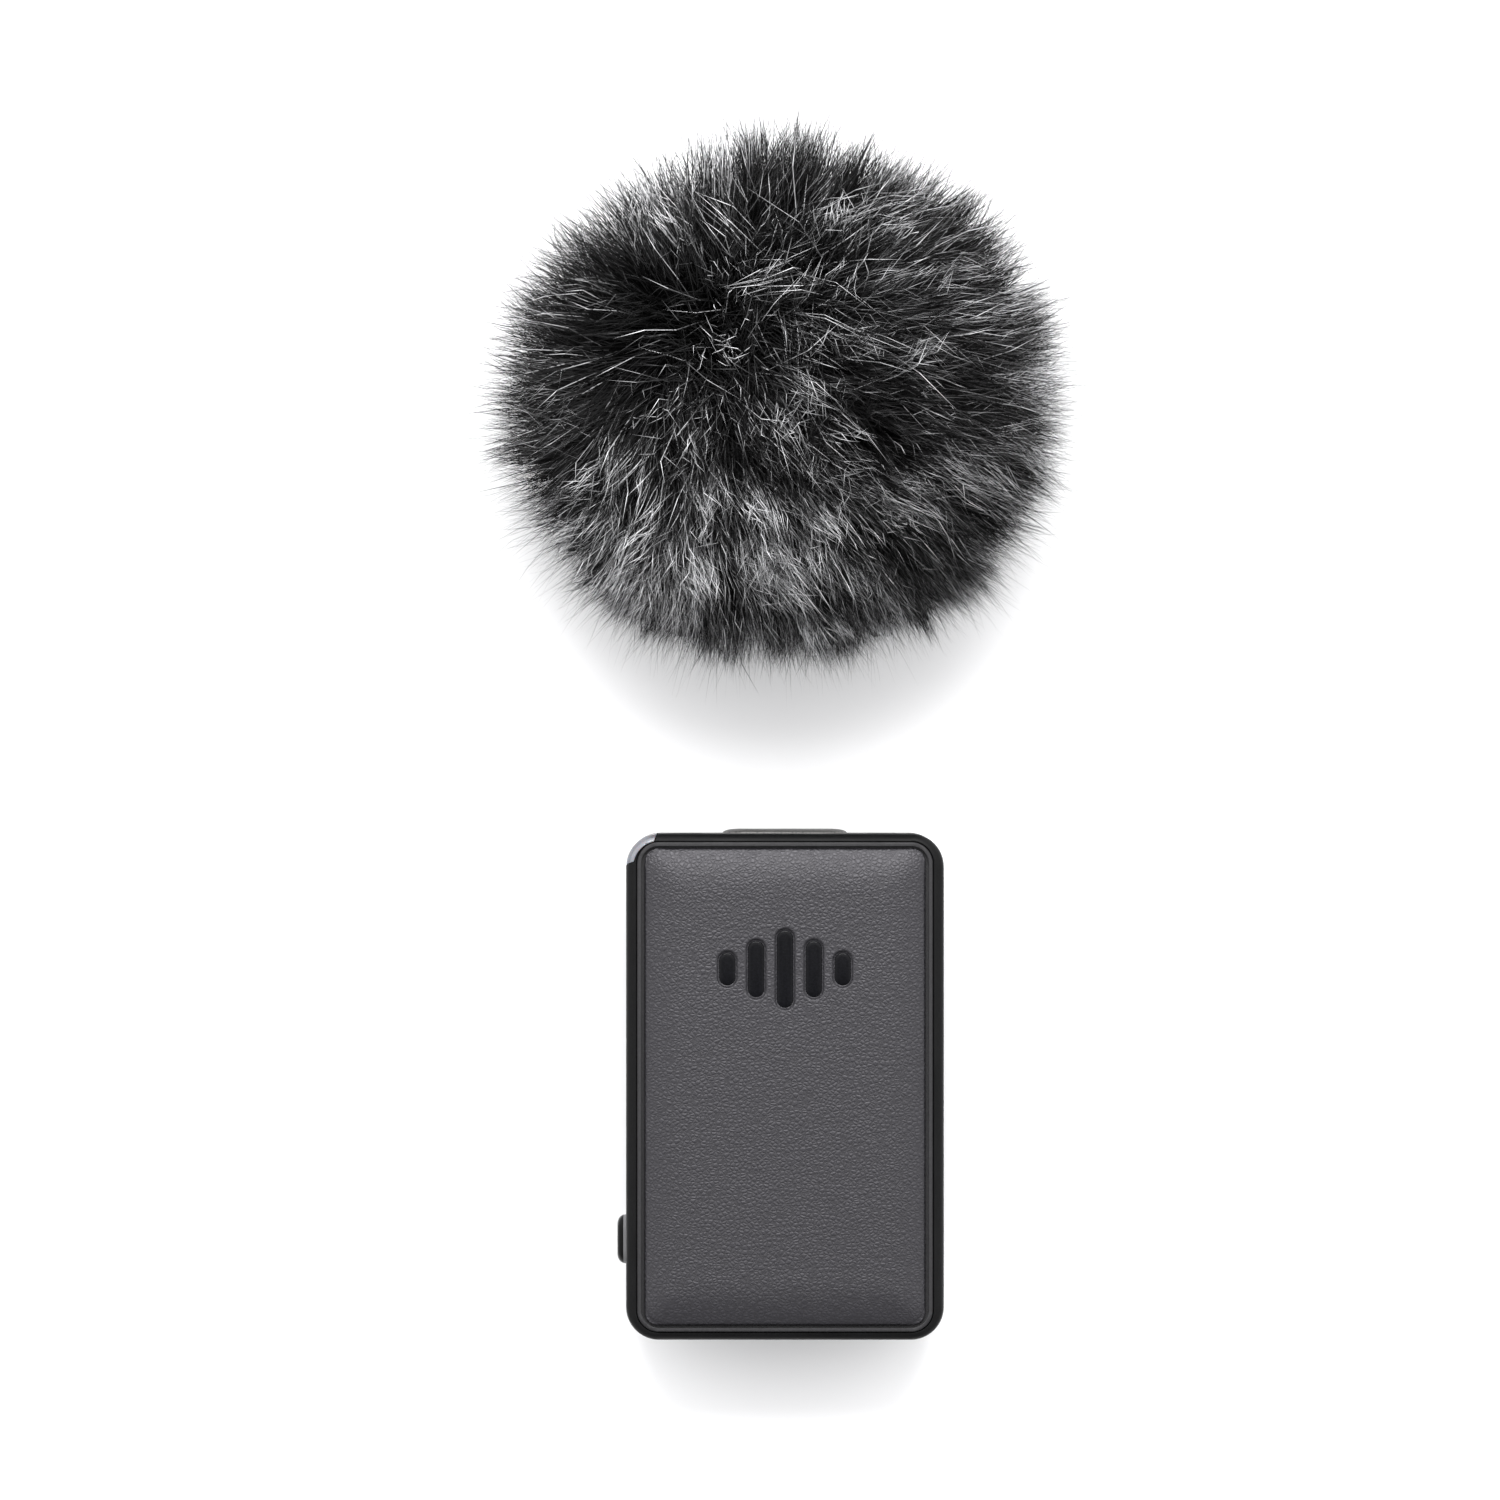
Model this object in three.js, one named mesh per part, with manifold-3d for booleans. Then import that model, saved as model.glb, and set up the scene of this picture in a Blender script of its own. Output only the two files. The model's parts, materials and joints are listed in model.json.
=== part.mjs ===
// A clip-on wireless lavalier microphone, with its fur windscreen pulled off and laid in line
// with it. Millimetres. +Z points out of the front panel, +Y towards the microphone end and +X
// to the right of someone facing the panel. The origin is on the clip's outer face, under the
// middle of the front panel.
import * as THREE from 'three';
import { mergeVertices } from 'three/addons/utils/BufferGeometryUtils.js';
import Module from 'manifold-3d';

const wasm = await Module();
wasm.setup();

// Driving dimensions
const BODY_W = 27;
const BODY_L = 43;
const BODY_T = 11;
const CORNER_R = 2.8;
const WALL = 1.2;
const FIT = 0.05; // gap between pieces that are fixed to each other
const CLIP_T = 1.6;
const CLIP_GAP = 3.2;
const CLIP_W = 13;
const COVER_T = 1.3;
const BEZEL_W = 0.85; // along the sides
const BEZEL_L = 0.62; // along the ends
const PIPE_W = 0.62;
const LIP_W = 0.42;
const GROOVE_W = 0.3; // along the sides
const GROOVE_L = 0.2; // along the ends
const BOARD_T = 0.8;
const SEAT_TO_LAID = 18.9; // how far the windscreen lies from its seat
const PILE = 11.3; // dense height of the fur over the foam core
const CORE_R = 12.5;

// Levels that follow from them
const BACK_Z = CLIP_T + CLIP_GAP;
const FRONT_Z = BACK_Z + BODY_T;
const MID_Z = (BACK_Z + FRONT_Z) / 2;
const SPLIT_Z = BACK_Z + COVER_T;
const TOP_Y = BODY_L / 2;
const SIDE_X = BODY_W / 2;
const CAVITY_X = SIDE_X - WALL;
const CAVITY_Y = TOP_Y - WALL;
const SEAT_Z = FRONT_Z - 1.4; // where the front plate sits
const LEDGE_T = 0.7;
const LEDGE_W = 1;
const RECESS_W = BODY_W - 2 * BEZEL_W;
const RECESS_L = BODY_L - 2 * BEZEL_L;
const POCKET_FLOOR_Z = SEAT_Z + 0.6;
const LIP_Z = FRONT_Z - 0.2;
const PAD_EDGE_Z = FRONT_Z - 0.5;
const PAD_TOP_Z = FRONT_Z + 0.15;
const BOARD_Z = FRONT_Z - 3.8;
const BOARD_TOP_Z = BOARD_Z + BOARD_T;
const ROUND = 8; // segments in each round corner that shows
const FAR = 100; // longer than anything here

// Where things are
const SCREWS = [[-1, 15.2], [1, 15.2], [-1, -18.2], [1, -18.2]];
const SCREW_X = 10.7;
const BUTTON_Y = -13.2;
const BUTTON_L = 4.2;
const BUTTON_H = 2.8;
const PROUD = 0.8;
const PRONG_X = 8.3;
const PRONG = 2;
const PRONG_L = 2.2;
const HINGE_Y = 11.5;
const HINGE_Z = CLIP_T + 1.65;
const PIN_R = 0.6;
const LUG_R = 1.2;
const GRILLE_W = 10.7;
const GRILLE_H = 4.6;
const CORNER = [-SIDE_X + CORNER_R, TOP_Y - CORNER_R]; // centre of the lit corner
const EMBLEM_Y = 10;
const EMBLEM_BARS = [2.8, 4.8, 6.6, 4.8, 2.8];
const EMBLEM_PITCH = 2.45;
const EMBLEM_BAR_W = 1.4;

const looks = {
  matteBlack: [0x141416, 0.5, 0],
  glossBlack: [0x060608, 0.12, 0],
  leatherette: [0x4b4a4f, 0.6, 0],
  clear: [0xd8dde2, 0.3, 0],
  lamp: [0xf2f3e4, 0.4, 0],
  steel: [0x9a9da1, 0.35, 1],
  darkSteel: [0x5c5e62, 0.4, 1],
  springSteel: [0xb9bcc0, 0.3, 1],
  rubber: [0x1b1b1c, 0.85, 0],
  mesh: [0x26262a, 0.9, 0],
  board: [0x0f2a20, 0.55, 0],
  chip: [0x17181a, 0.6, 0],
  ceramic: [0xd9d3c4, 0.5, 0],
  foil: [0xb4b7bb, 0.35, 0.8],
  flex: [0x9a5b1d, 0.5, 0],
  white: [0xe7e5df, 0.5, 0],
  red: [0xa51c18, 0.5, 0],
  black: [0x121212, 0.5, 0],
  foam: [0x1c1c1e, 0.95, 0],
  fur: [0x3a3a3c, 0.95, 0],
};

// ---------------------------------------------------------------- solids

/** A closed geometry as a solid that can be joined to others and cut. */
function solid(geometry) {
  const bare = geometry.clone();
  bare.deleteAttribute('normal');
  bare.deleteAttribute('uv');
  const merged = mergeVertices(bare, 1e-4);
  const corners = merged.index.array;
  const kept = [];
  for (let i = 0; i < corners.length; i += 3) {
    const [a, b, c] = [corners[i], corners[i + 1], corners[i + 2]];
    if (a !== b && b !== c && c !== a) kept.push(a, b, c);
  }
  const vertProperties = new Float32Array(merged.attributes.position.array);
  return new wasm.Manifold(new wasm.Mesh({ numProp: 3, vertProperties, triVerts: new Uint32Array(kept) }));
}

function geometryOf(body) {
  const mesh = body.getMesh();
  const geometry = new THREE.BufferGeometry();
  geometry.setAttribute('position', new THREE.BufferAttribute(mesh.vertProperties, 3));
  geometry.setIndex(new THREE.BufferAttribute(mesh.triVerts, 1));
  geometry.computeVertexNormals();
  return geometry;
}

function join(first, ...others) {
  return others.reduce((whole, other) => whole.add(other), first);
}

function cut(body, ...tools) {
  return tools.reduce((left, tool) => left.subtract(tool), body);
}

/** A box between two corners. */
function block([x0, y0, z0], [x1, y1, z1]) {
  const box = new THREE.BoxGeometry(x1 - x0, y1 - y0, z1 - z0);
  return solid(box.translate((x0 + x1) / 2, (y0 + y1) / 2, (z0 + z1) / 2));
}

/** A rectangle with round corners about a centre. */
function roundedRect(width, height, radius, cx = 0, cy = 0) {
  const x = width / 2 - radius;
  const y = height / 2 - radius;
  const shape = new THREE.Shape();
  shape.absarc(cx + x, cy - y, radius, -Math.PI / 2, 0);
  shape.absarc(cx + x, cy + y, radius, 0, Math.PI / 2);
  shape.absarc(cx - x, cy + y, radius, Math.PI / 2, Math.PI);
  shape.absarc(cx - x, cy - y, radius, Math.PI, 1.5 * Math.PI);
  return shape;
}

function extruded(shape, depth, curveSegments) {
  return new THREE.ExtrudeGeometry(shape, { depth, bevelEnabled: false, curveSegments });
}

/** A shape drawn in X and Y, between two levels of Z. */
function slab(shape, z0, z1, curveSegments = 3) {
  return solid(extruded(shape, z1 - z0, curveSegments).translate(0, 0, z0));
}

/** A shape drawn in X and -Z about the height z, between two levels of Y. */
function alongY(shape, y0, y1, z = MID_Z, curveSegments = 3) {
  return solid(extruded(shape, y1 - y0, curveSegments).rotateX(-Math.PI / 2).translate(0, y0, z));
}

/** A shape drawn in Y and Z, between two levels of X. */
function alongX(shape, x0, x1, curveSegments = 3) {
  const turn = new THREE.Matrix4().makeBasis(
    new THREE.Vector3(0, 1, 0),
    new THREE.Vector3(0, 0, 1),
    new THREE.Vector3(1, 0, 0),
  );
  return solid(extruded(shape, x1 - x0, curveSegments).applyMatrix4(turn).translate(x0, 0, 0));
}

/** A slab whose top edge falls away over a width of edge and a height of drop. */
function crowned(shape, z0, z1, edge, drop, bevelSegments, curveSegments = 3) {
  const geometry = new THREE.ExtrudeGeometry(shape, {
    depth: z1 - drop - z0,
    bevelThickness: drop,
    bevelSize: edge,
    bevelOffset: -edge,
    bevelSegments,
    curveSegments,
  });
  return cut(solid(geometry.translate(0, 0, z0)), block([-FAR, -FAR, z0 - FAR], [FAR, FAR, z0]));
}

/** A round bar along Z. */
function post(radius, x, y, z0, z1, sides = 16) {
  const bar = new THREE.CylinderGeometry(radius, radius, z1 - z0, sides).rotateX(Math.PI / 2);
  return solid(bar.translate(x, y, (z0 + z1) / 2));
}

/** A round bar along X. */
function bar(radius, x0, x1, y, z, sides = 16) {
  const rod = new THREE.CylinderGeometry(radius, radius, x1 - x0, sides).rotateZ(Math.PI / 2);
  return solid(rod.translate((x0 + x1) / 2, y, z));
}

/** A wire of round section along a curve. */
function wire(path, radius, steps, sides = 8) {
  const section = new THREE.Shape();
  section.absarc(0, 0, radius, 0, 2 * Math.PI);
  const curveSegments = sides / 2;
  return solid(new THREE.ExtrudeGeometry(section, { steps, extrudePath: path, curveSegments }));
}

// ---------------------------------------------------------------- casing

/** The outer form of the casing above the split, with its front edge rounded. */
function casingBlank() {
  const outline = roundedRect(BODY_W, BODY_L, CORNER_R);
  return crowned(outline, SPLIT_Z + FIT, FRONT_Z, 0.7, 0.7, 5, ROUND);
}

/** The quarter ring of the lit corner, grown by a gap on its inner side and ends. */
function cornerRing(gap) {
  const radius = CORNER_R - PIPE_W - gap;
  const far = CORNER_R + 1;
  const end = 0.15 + 1.5 * gap;
  const short = 0.2 - gap / radius; // how much short of a quarter turn each end stops
  const [cx, cy] = CORNER;
  const shape = new THREE.Shape();
  shape.moveTo(cx + end, cy + far);
  shape.lineTo(cx - radius * Math.sin(short), cy + radius * Math.cos(short));
  shape.absarc(cx, cy, radius, Math.PI / 2 + short, Math.PI - short);
  shape.lineTo(cx - far, cy - end);
  shape.lineTo(cx - far, cy + far);
  return slab(shape, MID_Z - 0.5 - gap, FRONT_Z + 1, 4);
}

/** The stem that carries the lamp's light out to the corner. */
function cornerStem(gap) {
  const [outward, inward] = [CORNER_R - 0.25 + gap, 0.6 + gap];
  const box = new THREE.BoxGeometry(outward + inward, 1.2 + 2 * gap, 0.7 + 2 * gap);
  box.translate((inward - outward) / 2, 0, 0).rotateZ(-Math.PI / 4);
  box.translate(...CORNER, BOARD_TOP_Z + 0.45);
  return solid(box);
}

function housing() {
  const cavity = roundedRect(2 * CAVITY_X, 2 * CAVITY_Y, CORNER_R - WALL);
  const window = roundedRect(2 * (CAVITY_X - LEDGE_W), 2 * (CAVITY_Y - LEDGE_W), 0.6);
  const recess = roundedRect(RECESS_W, RECESS_L, CORNER_R - BEZEL_W);
  const shell = cut(
    casingBlank(),
    slab(cavity, 0, SEAT_Z - LEDGE_T),
    slab(window, 0, FRONT_Z),
    slab(recess, SEAT_Z, FRONT_Z + 1, ROUND),
  );
  const pillars = SCREWS.map(([side, y]) => cut(
    join(
      post(1.5, side * SCREW_X, y, SPLIT_Z + 1.3, SEAT_Z - LEDGE_T + 0.2),
      block(
        [Math.min(side * SCREW_X, side * (CAVITY_X + 0.3)), y - 1.5, SPLIT_Z + 1.3],
        [Math.max(side * SCREW_X, side * (CAVITY_X + 0.3)), y + 1.5, SEAT_Z - LEDGE_T + 0.2],
      ),
    ),
    post(0.65, side * SCREW_X, y, 0, SPLIT_Z + 5),
  ));
  return cut(
    join(shell, ...pillars),
    alongY(roundedRect(GRILLE_W + 0.1, GRILLE_H + 0.1, GRILLE_H / 2 - 0.25), TOP_Y - 0.6, TOP_Y + 1),
    alongY(roundedRect(9.6, 3.4, 1.6), CAVITY_Y - 1, TOP_Y),
    ...[-1, 1].map((side) => prongSlot(side)),
    cornerRing(FIT),
    cornerStem(FIT),
    alongY(roundedRect(9.1, 3.4, 1.65), -TOP_Y - 1, -CAVITY_Y + 1),
    alongX(roundedRect(BUTTON_L + 0.2, BUTTON_H + 0.2, 1.4, BUTTON_Y, MID_Z), -SIDE_X - 1, -CAVITY_X + 1),
  );
}

function prongSlot(side) {
  const half = PRONG / 2 + 0.2;
  const x = side * PRONG_X;
  return block([x - half, CAVITY_Y - 1, MID_Z - half], [x + half, TOP_Y + 1, MID_Z + half]);
}

/** A lug of the hinge: round about the pin, running into the cover. */
function lug(x0, x1) {
  const shape = new THREE.Shape();
  shape.moveTo(HINGE_Y + 2, BACK_Z + 0.3);
  shape.lineTo(HINGE_Y - 2, BACK_Z + 0.3);
  shape.lineTo(HINGE_Y - LUG_R, HINGE_Z);
  shape.absarc(HINGE_Y, HINGE_Z, LUG_R, Math.PI, 2 * Math.PI);
  return cut(alongX(shape, x0, x1, 4), bar(PIN_R + 0.03, x0 - 1, x1 + 1, HINGE_Y, HINGE_Z));
}

function backCover() {
  const outline = roundedRect(BODY_W, BODY_L, CORNER_R);
  const geometry = geometryOf(crowned(outline, 0, COVER_T, 0.9, 0.9, 5, ROUND));
  geometry.rotateY(Math.PI).translate(0, 0, SPLIT_Z);
  const rimOuter = roundedRect(2 * CAVITY_X - 0.2, 2 * CAVITY_Y - 0.2, CORNER_R - WALL - 0.1);
  const rimInner = roundedRect(2 * CAVITY_X - 2, 2 * CAVITY_Y - 2, 0.6);
  const rim = cut(slab(rimOuter, SPLIT_Z - 0.2, SPLIT_Z + 0.9), slab(rimInner, 0, FRONT_Z));
  const plate = join(solid(geometry), rim, lug(-6.3, -5.1), lug(5.1, 6.3));
  const screwHoles = SCREWS.map(([side, y]) => join(
    post(0.75, side * SCREW_X, y, 0, FRONT_Z),
    post(1.2, side * SCREW_X, y, 0, BACK_Z + 0.55),
  ));
  const usbRelief = block([-5.2, -TOP_Y + 0.8, SPLIT_Z], [5.2, -CAVITY_Y + 2, FRONT_Z]);
  const padSeat = slab(roundedRect(10.3, 4.3, 0.6, 0, -16.5), BACK_Z - 1, BACK_Z + 0.4);
  return cut(plate, ...screwHoles, usbRelief, padSeat);
}

function coverScrew() {
  const screw = join(
    post(1.1, 0, 0, 0, 0.45, 20),
    post(0.58, 0, 0, 0.3, 4.4, 12),
  );
  const slots = [0, Math.PI / 2].map((angle) => {
    const box = new THREE.BoxGeometry(1.3, 0.3, 0.5);
    return solid(box.rotateZ(angle));
  });
  return cut(screw, ...slots);
}

// ---------------------------------------------------------------- front panel

function frontPlate() {
  const outer = roundedRect(RECESS_W - 2 * FIT, RECESS_L - 2 * FIT, CORNER_R - BEZEL_W - FIT);
  const pocket = roundedRect(RECESS_W - 2 * LIP_W, RECESS_L - 2 * LIP_W, CORNER_R - BEZEL_W - LIP_W);
  return cut(
    crowned(outer, SEAT_Z + 0.02, LIP_Z, 0.12, 0.12, 2, ROUND),
    slab(pocket, POCKET_FLOOR_Z, FRONT_Z, ROUND),
  );
}

function emblemBars(grow, z0, z1) {
  return EMBLEM_BARS.map((height, i) => {
    const x = (i - (EMBLEM_BARS.length - 1) / 2) * EMBLEM_PITCH;
    const width = EMBLEM_BAR_W + 2 * grow;
    return slab(roundedRect(width, height + 2 * grow, width / 2 - 0.05, x, EMBLEM_Y), z0, z1);
  });
}

function emblemCarrier(grow, z0, z1) {
  return slab(roundedRect(12.4 + 2 * grow, 7.4 + 2 * grow, 0.6, 0, EMBLEM_Y), z0, z1, 2);
}

function emblem() {
  const floor = POCKET_FLOOR_Z + 0.02;
  return join(emblemCarrier(0, floor, floor + 0.2), ...emblemBars(0, floor + 0.1, PAD_TOP_Z - 0.08));
}

function leatherettePad() {
  const [width, length] = [RECESS_W - 2 * (LIP_W + GROOVE_W), RECESS_L - 2 * (LIP_W + GROOVE_L)];
  const outline = roundedRect(width, length, CORNER_R - BEZEL_W - LIP_W - GROOVE_L);
  const floor = POCKET_FLOOR_Z + 0.02;
  return cut(
    crowned(outline, floor, PAD_TOP_Z, 0.75, PAD_TOP_Z - PAD_EDGE_Z, 4, ROUND),
    emblemCarrier(FIT, floor - 1, floor + 0.25),
    ...emblemBars(FIT, floor, FRONT_Z + 1),
  );
}

function lightPipe() {
  return join(casingBlank().intersect(cornerRing(0)), cornerStem(0));
}

// ---------------------------------------------------------------- microphone

/** A perforated steel plate, let into the top edge and standing a little proud of it. */
function micGrille() {
  const low = TOP_Y - 0.55;
  const high = TOP_Y + 0.38;
  const outline = roundedRect(GRILLE_W, GRILLE_H, GRILLE_H / 2 - 0.3);
  const plate = geometryOf(crowned(outline, 0, high - low, 1.2, 0.38, 4));
  plate.rotateX(-Math.PI / 2).translate(0, low, MID_Z);
  const holes = [];
  for (let row = -1; row <= 1; row += 1) {
    const count = row === 0 ? 9 : 8;
    for (let i = 0; i < count; i += 1) {
      const hole = new THREE.CylinderGeometry(0.28, 0.28, 3, 8);
      holes.push(solid(hole.translate((i - (count - 1) / 2) * 0.95, TOP_Y, MID_Z + row * 1.05)));
    }
  }
  const hollow = alongY(roundedRect(9.4, 3.2, 1.5), low - 1, high - 0.45);
  return cut(solid(plate), hollow, ...holes);
}

function acousticMesh() {
  return alongY(roundedRect(9.3, 3.1, 1.5), TOP_Y - 1, TOP_Y - 0.85);
}

function micBoot() {
  const low = CAVITY_Y - 2.75;
  return cut(
    alongY(roundedRect(9.2, 4.8, 0.8), low, CAVITY_Y - 0.1),
    solid(new THREE.CylinderGeometry(2.05, 2.05, 4, 20).translate(0, low - 0.35, MID_Z)),
    solid(new THREE.CylinderGeometry(1.1, 1.1, 4, 12).translate(0, CAVITY_Y - 1.5, MID_Z)),
  );
}

function micCapsule() {
  return join(
    solid(new THREE.CylinderGeometry(2, 2, 1.5, 24)),
    solid(new THREE.CylinderGeometry(1.5, 1.5, 0.3, 16).translate(0, -0.75, 0)),
  );
}

/** A flat strip that leads from the back of the capsule up to the board. */
function micFlex() {
  const y = CAVITY_Y - 3.15;
  const shape = new THREE.Shape();
  shape.moveTo(y, MID_Z - 1.2);
  shape.lineTo(y + 0.15, MID_Z - 1.2);
  shape.lineTo(y + 0.15, BOARD_Z - 0.35);
  shape.lineTo(y - 1.9, BOARD_Z - 0.05);
  shape.lineTo(y - 2.4, BOARD_Z - 0.05);
  shape.lineTo(y - 2.4, BOARD_Z - 0.2);
  shape.lineTo(y - 1.92, BOARD_Z - 0.2);
  shape.lineTo(y, BOARD_Z - 0.49);
  return alongX(shape, -1.2, 1.2);
}

// ---------------------------------------------------------------- electronics

function mainBoard() {
  const outline = roundedRect(2 * CAVITY_X - 0.6, 2 * CAVITY_Y - 1, 1.3);
  const notches = SCREWS.map(([side, y]) => block(
    [Math.min(side * (SCREW_X - 1.8), side * SIDE_X), y - 1.8, BOARD_Z - 1],
    [Math.max(side * (SCREW_X - 1.8), side * SIDE_X), y + 1.8, BOARD_TOP_Z + 1],
  ));
  const bootNotch = block([-4.9, CAVITY_Y - 3, BOARD_Z - 1], [4.9, TOP_Y, BOARD_TOP_Z + 1]);
  return cut(slab(outline, BOARD_Z, BOARD_TOP_Z), ...notches, bootNotch);
}

/** A pressed tin lid, open underneath. */
function shieldCan(width, length, height) {
  return cut(
    crowned(roundedRect(width, length, 0.8), 0, height, 0.3, 0.3, 2, 2),
    block([-width / 2 + 0.2, -length / 2 + 0.2, -1], [width / 2 - 0.2, length / 2 - 0.2, height - 0.2]),
  );
}

/** A moulded chip package with a small dimple at its first pin. */
function chip(width, length, height) {
  return cut(
    crowned(roundedRect(width, length, 0.25), 0, height, 0.12, 0.12, 1, 1),
    post(0.25, -width / 2 + 0.7, length / 2 - 0.7, height - 0.1, height + 1, 8),
  );
}

function batteryCell() {
  const [width, length, height] = [17.2, 24, 4];
  const low = crowned(roundedRect(width, length, 1.2), 0, height, 0.6, 0.6, 3);
  return cut(low, block([-width / 2, length / 2 - 0.35, height - 1.2], [width / 2, length, height + 1]));
}

/** The battery's leads, from its guard board round to the plug. */
function batteryLead(offset) {
  const path = new THREE.CatmullRomCurve3([
    new THREE.Vector3(2.4 + offset, 10.8, 7.6),
    new THREE.Vector3(2.5 + offset, 11.9, 7.5),
    new THREE.Vector3(2.6 + offset, 12.5, 8.4),
    new THREE.Vector3(2.7 + offset, 11.9, 9.4),
    new THREE.Vector3(2.7 + offset, 11.7, 10.4),
    new THREE.Vector3(2.7 + offset, 12.55, 10.7),
  ]);
  return wire(path, 0.3, 16);
}

function batteryPlug() {
  return cut(
    block([2, 12.6, 9.8], [5, 14.3, 11.6]),
    block([2.6, 12.5, 11.3], [4.4, 14.4, 12]),
  );
}

function batterySocket() {
  return cut(
    block([1.5, 13, 9.5], [5.5, 16.4, BOARD_Z - FIT]),
    block([1.9, 12, 9.7], [5.1, 14.6, 11.7]),
  );
}

function usbShell() {
  const outside = alongY(roundedRect(8.9, 3.2, 1.55), -TOP_Y + 0.3, -TOP_Y + 7);
  const inside = alongY(roundedRect(8.4, 2.7, 1.3), -TOP_Y - 1, -TOP_Y + 6.5);
  return cut(outside, inside);
}

function usbTongue() {
  return join(
    alongY(roundedRect(6.7, 0.7, 0.3), -TOP_Y + 1.1, -TOP_Y + 6),
    alongY(roundedRect(8.2, 2.5, 1.2), -TOP_Y + 5.3, -TOP_Y + 6.4),
  );
}

// ---------------------------------------------------------------- side button

function sideButton() {
  const face = -SIDE_X - PROUD;
  const cap = geometryOf(crowned(roundedRect(BUTTON_L, BUTTON_H, 1.3), 0, PROUD + WALL + 0.1, 0.75, 0.7, 5));
  const turn = new THREE.Matrix4().makeBasis(
    new THREE.Vector3(0, 1, 0),
    new THREE.Vector3(0, 0, -1),
    new THREE.Vector3(-1, 0, 0),
  );
  cap.applyMatrix4(turn).translate(face + PROUD + WALL + 0.1, BUTTON_Y, MID_Z);
  const flange = roundedRect(BUTTON_L + 1.2, BUTTON_H + 0.5, 0.6, BUTTON_Y, MID_Z);
  return join(solid(cap), alongX(flange, -CAVITY_X + 0.05, -CAVITY_X + 0.5));
}

function switchPlunger() {
  return alongX(roundedRect(1.8, 1.2, 0.4, BUTTON_Y, MID_Z), -CAVITY_X + 0.55, -CAVITY_X + 1.7);
}

function switchBody() {
  const x = -CAVITY_X + 1.25;
  return cut(
    block([x, BUTTON_Y - 2.2, MID_Z - 1.2], [x + 2.8, BUTTON_Y + 2.2, BOARD_Z - FIT]),
    alongX(roundedRect(2, 1.4, 0.4, BUTTON_Y, MID_Z), x - 1, x + 1.1),
  );
}

// ---------------------------------------------------------------- clip

/** The arm: a flat plate with two ears on the pin, a thumb tail and a raised jaw. */
function clipArm() {
  const [tail, tip] = [HINGE_Y + 6, -19];
  const blank = roundedRect(CLIP_W, tail - tip, 2, 0, (tail + tip) / 2);
  const plate = crowned(blank, 0, CLIP_T, 0.35, 0.35, 2);
  const earShape = new THREE.Shape();
  earShape.moveTo(HINGE_Y + 2.2, CLIP_T - 0.3);
  earShape.lineTo(HINGE_Y + LUG_R, HINGE_Z);
  earShape.absarc(HINGE_Y, HINGE_Z, LUG_R, 0, Math.PI);
  earShape.lineTo(HINGE_Y - 2.2, CLIP_T - 0.3);
  const ears = [-4.8, 3.5].map((x) => alongX(earShape, x, x + 1.3, 4));
  const jaw = slab(roundedRect(10.6, 4.6, 0.8, 0, -16.5), CLIP_T - 0.3, CLIP_T + 1.6);
  const padSeat = slab(roundedRect(9.6, 3.6, 0.5, 0, -16.5), CLIP_T + 1.3, FRONT_Z);
  const thumbGrooves = [0, 1, 2].map((i) => {
    const groove = new THREE.CylinderGeometry(0.25, 0.25, CLIP_W - 4, 8).rotateZ(Math.PI / 2);
    return solid(groove.translate(0, tail - 1.8 - i * 1.1, 0));
  });
  const holes = bar(PIN_R + 0.07, -6, 6, HINGE_Y, HINGE_Z);
  return cut(join(plate, ...ears, jaw), padSeat, holes, ...thumbGrooves);
}

/** A rubber pad with cross ribs, which bites on cloth. */
function gripPad(width, length, height) {
  const base = slab(roundedRect(width, length, 0.5), 0, height * 0.5, 2);
  const ribs = [-1, 0, 1].map((i) => {
    const rib = roundedRect(width - 0.8, length / 5, 0.2, 0, i * length * 0.3);
    return slab(rib, height * 0.4, height, 1);
  });
  return join(base, ...ribs);
}

/** The wire of the torsion spring: a straight leg, the coil about the pin and the other leg. */
class SpringPath extends THREE.Curve {
  constructor(radius, turns, pitch, leg) {
    super();
    Object.assign(this, { radius, turns, pitch, leg });
    this.coil = turns * Math.hypot(2 * Math.PI * radius, pitch);
  }

  getPoint(t, target = new THREE.Vector3()) {
    const { radius, turns, pitch, leg, coil } = this;
    const along = t * (coil + 2 * leg) - leg;
    const angle = THREE.MathUtils.clamp(along / coil, 0, 1) * turns * 2 * Math.PI;
    const straight = Math.max(-along, along - coil, 0);
    const x = (turns / 2 - angle / (2 * Math.PI)) * pitch;
    return target.set(x, -radius * Math.sin(angle) + straight, radius * Math.cos(angle));
  }
}

function clipSpring() {
  return wire(new SpringPath(1, 4.5, 0.68, 3.8), 0.22, 76, 6);
}

// ---------------------------------------------------------------- windscreen
// These are drawn about the middle of the base's lower face, as it sits on the top edge.

const BASE = { width: 21, height: 8.4, thick: 1.6, hubWidth: 17, hubHeight: 6.2, hubTop: 5.2 };
const CORE_Y = 16.5; // the core's centre over the base
const CORE_LIFT = 3.5; // and over the base's middle line

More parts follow.
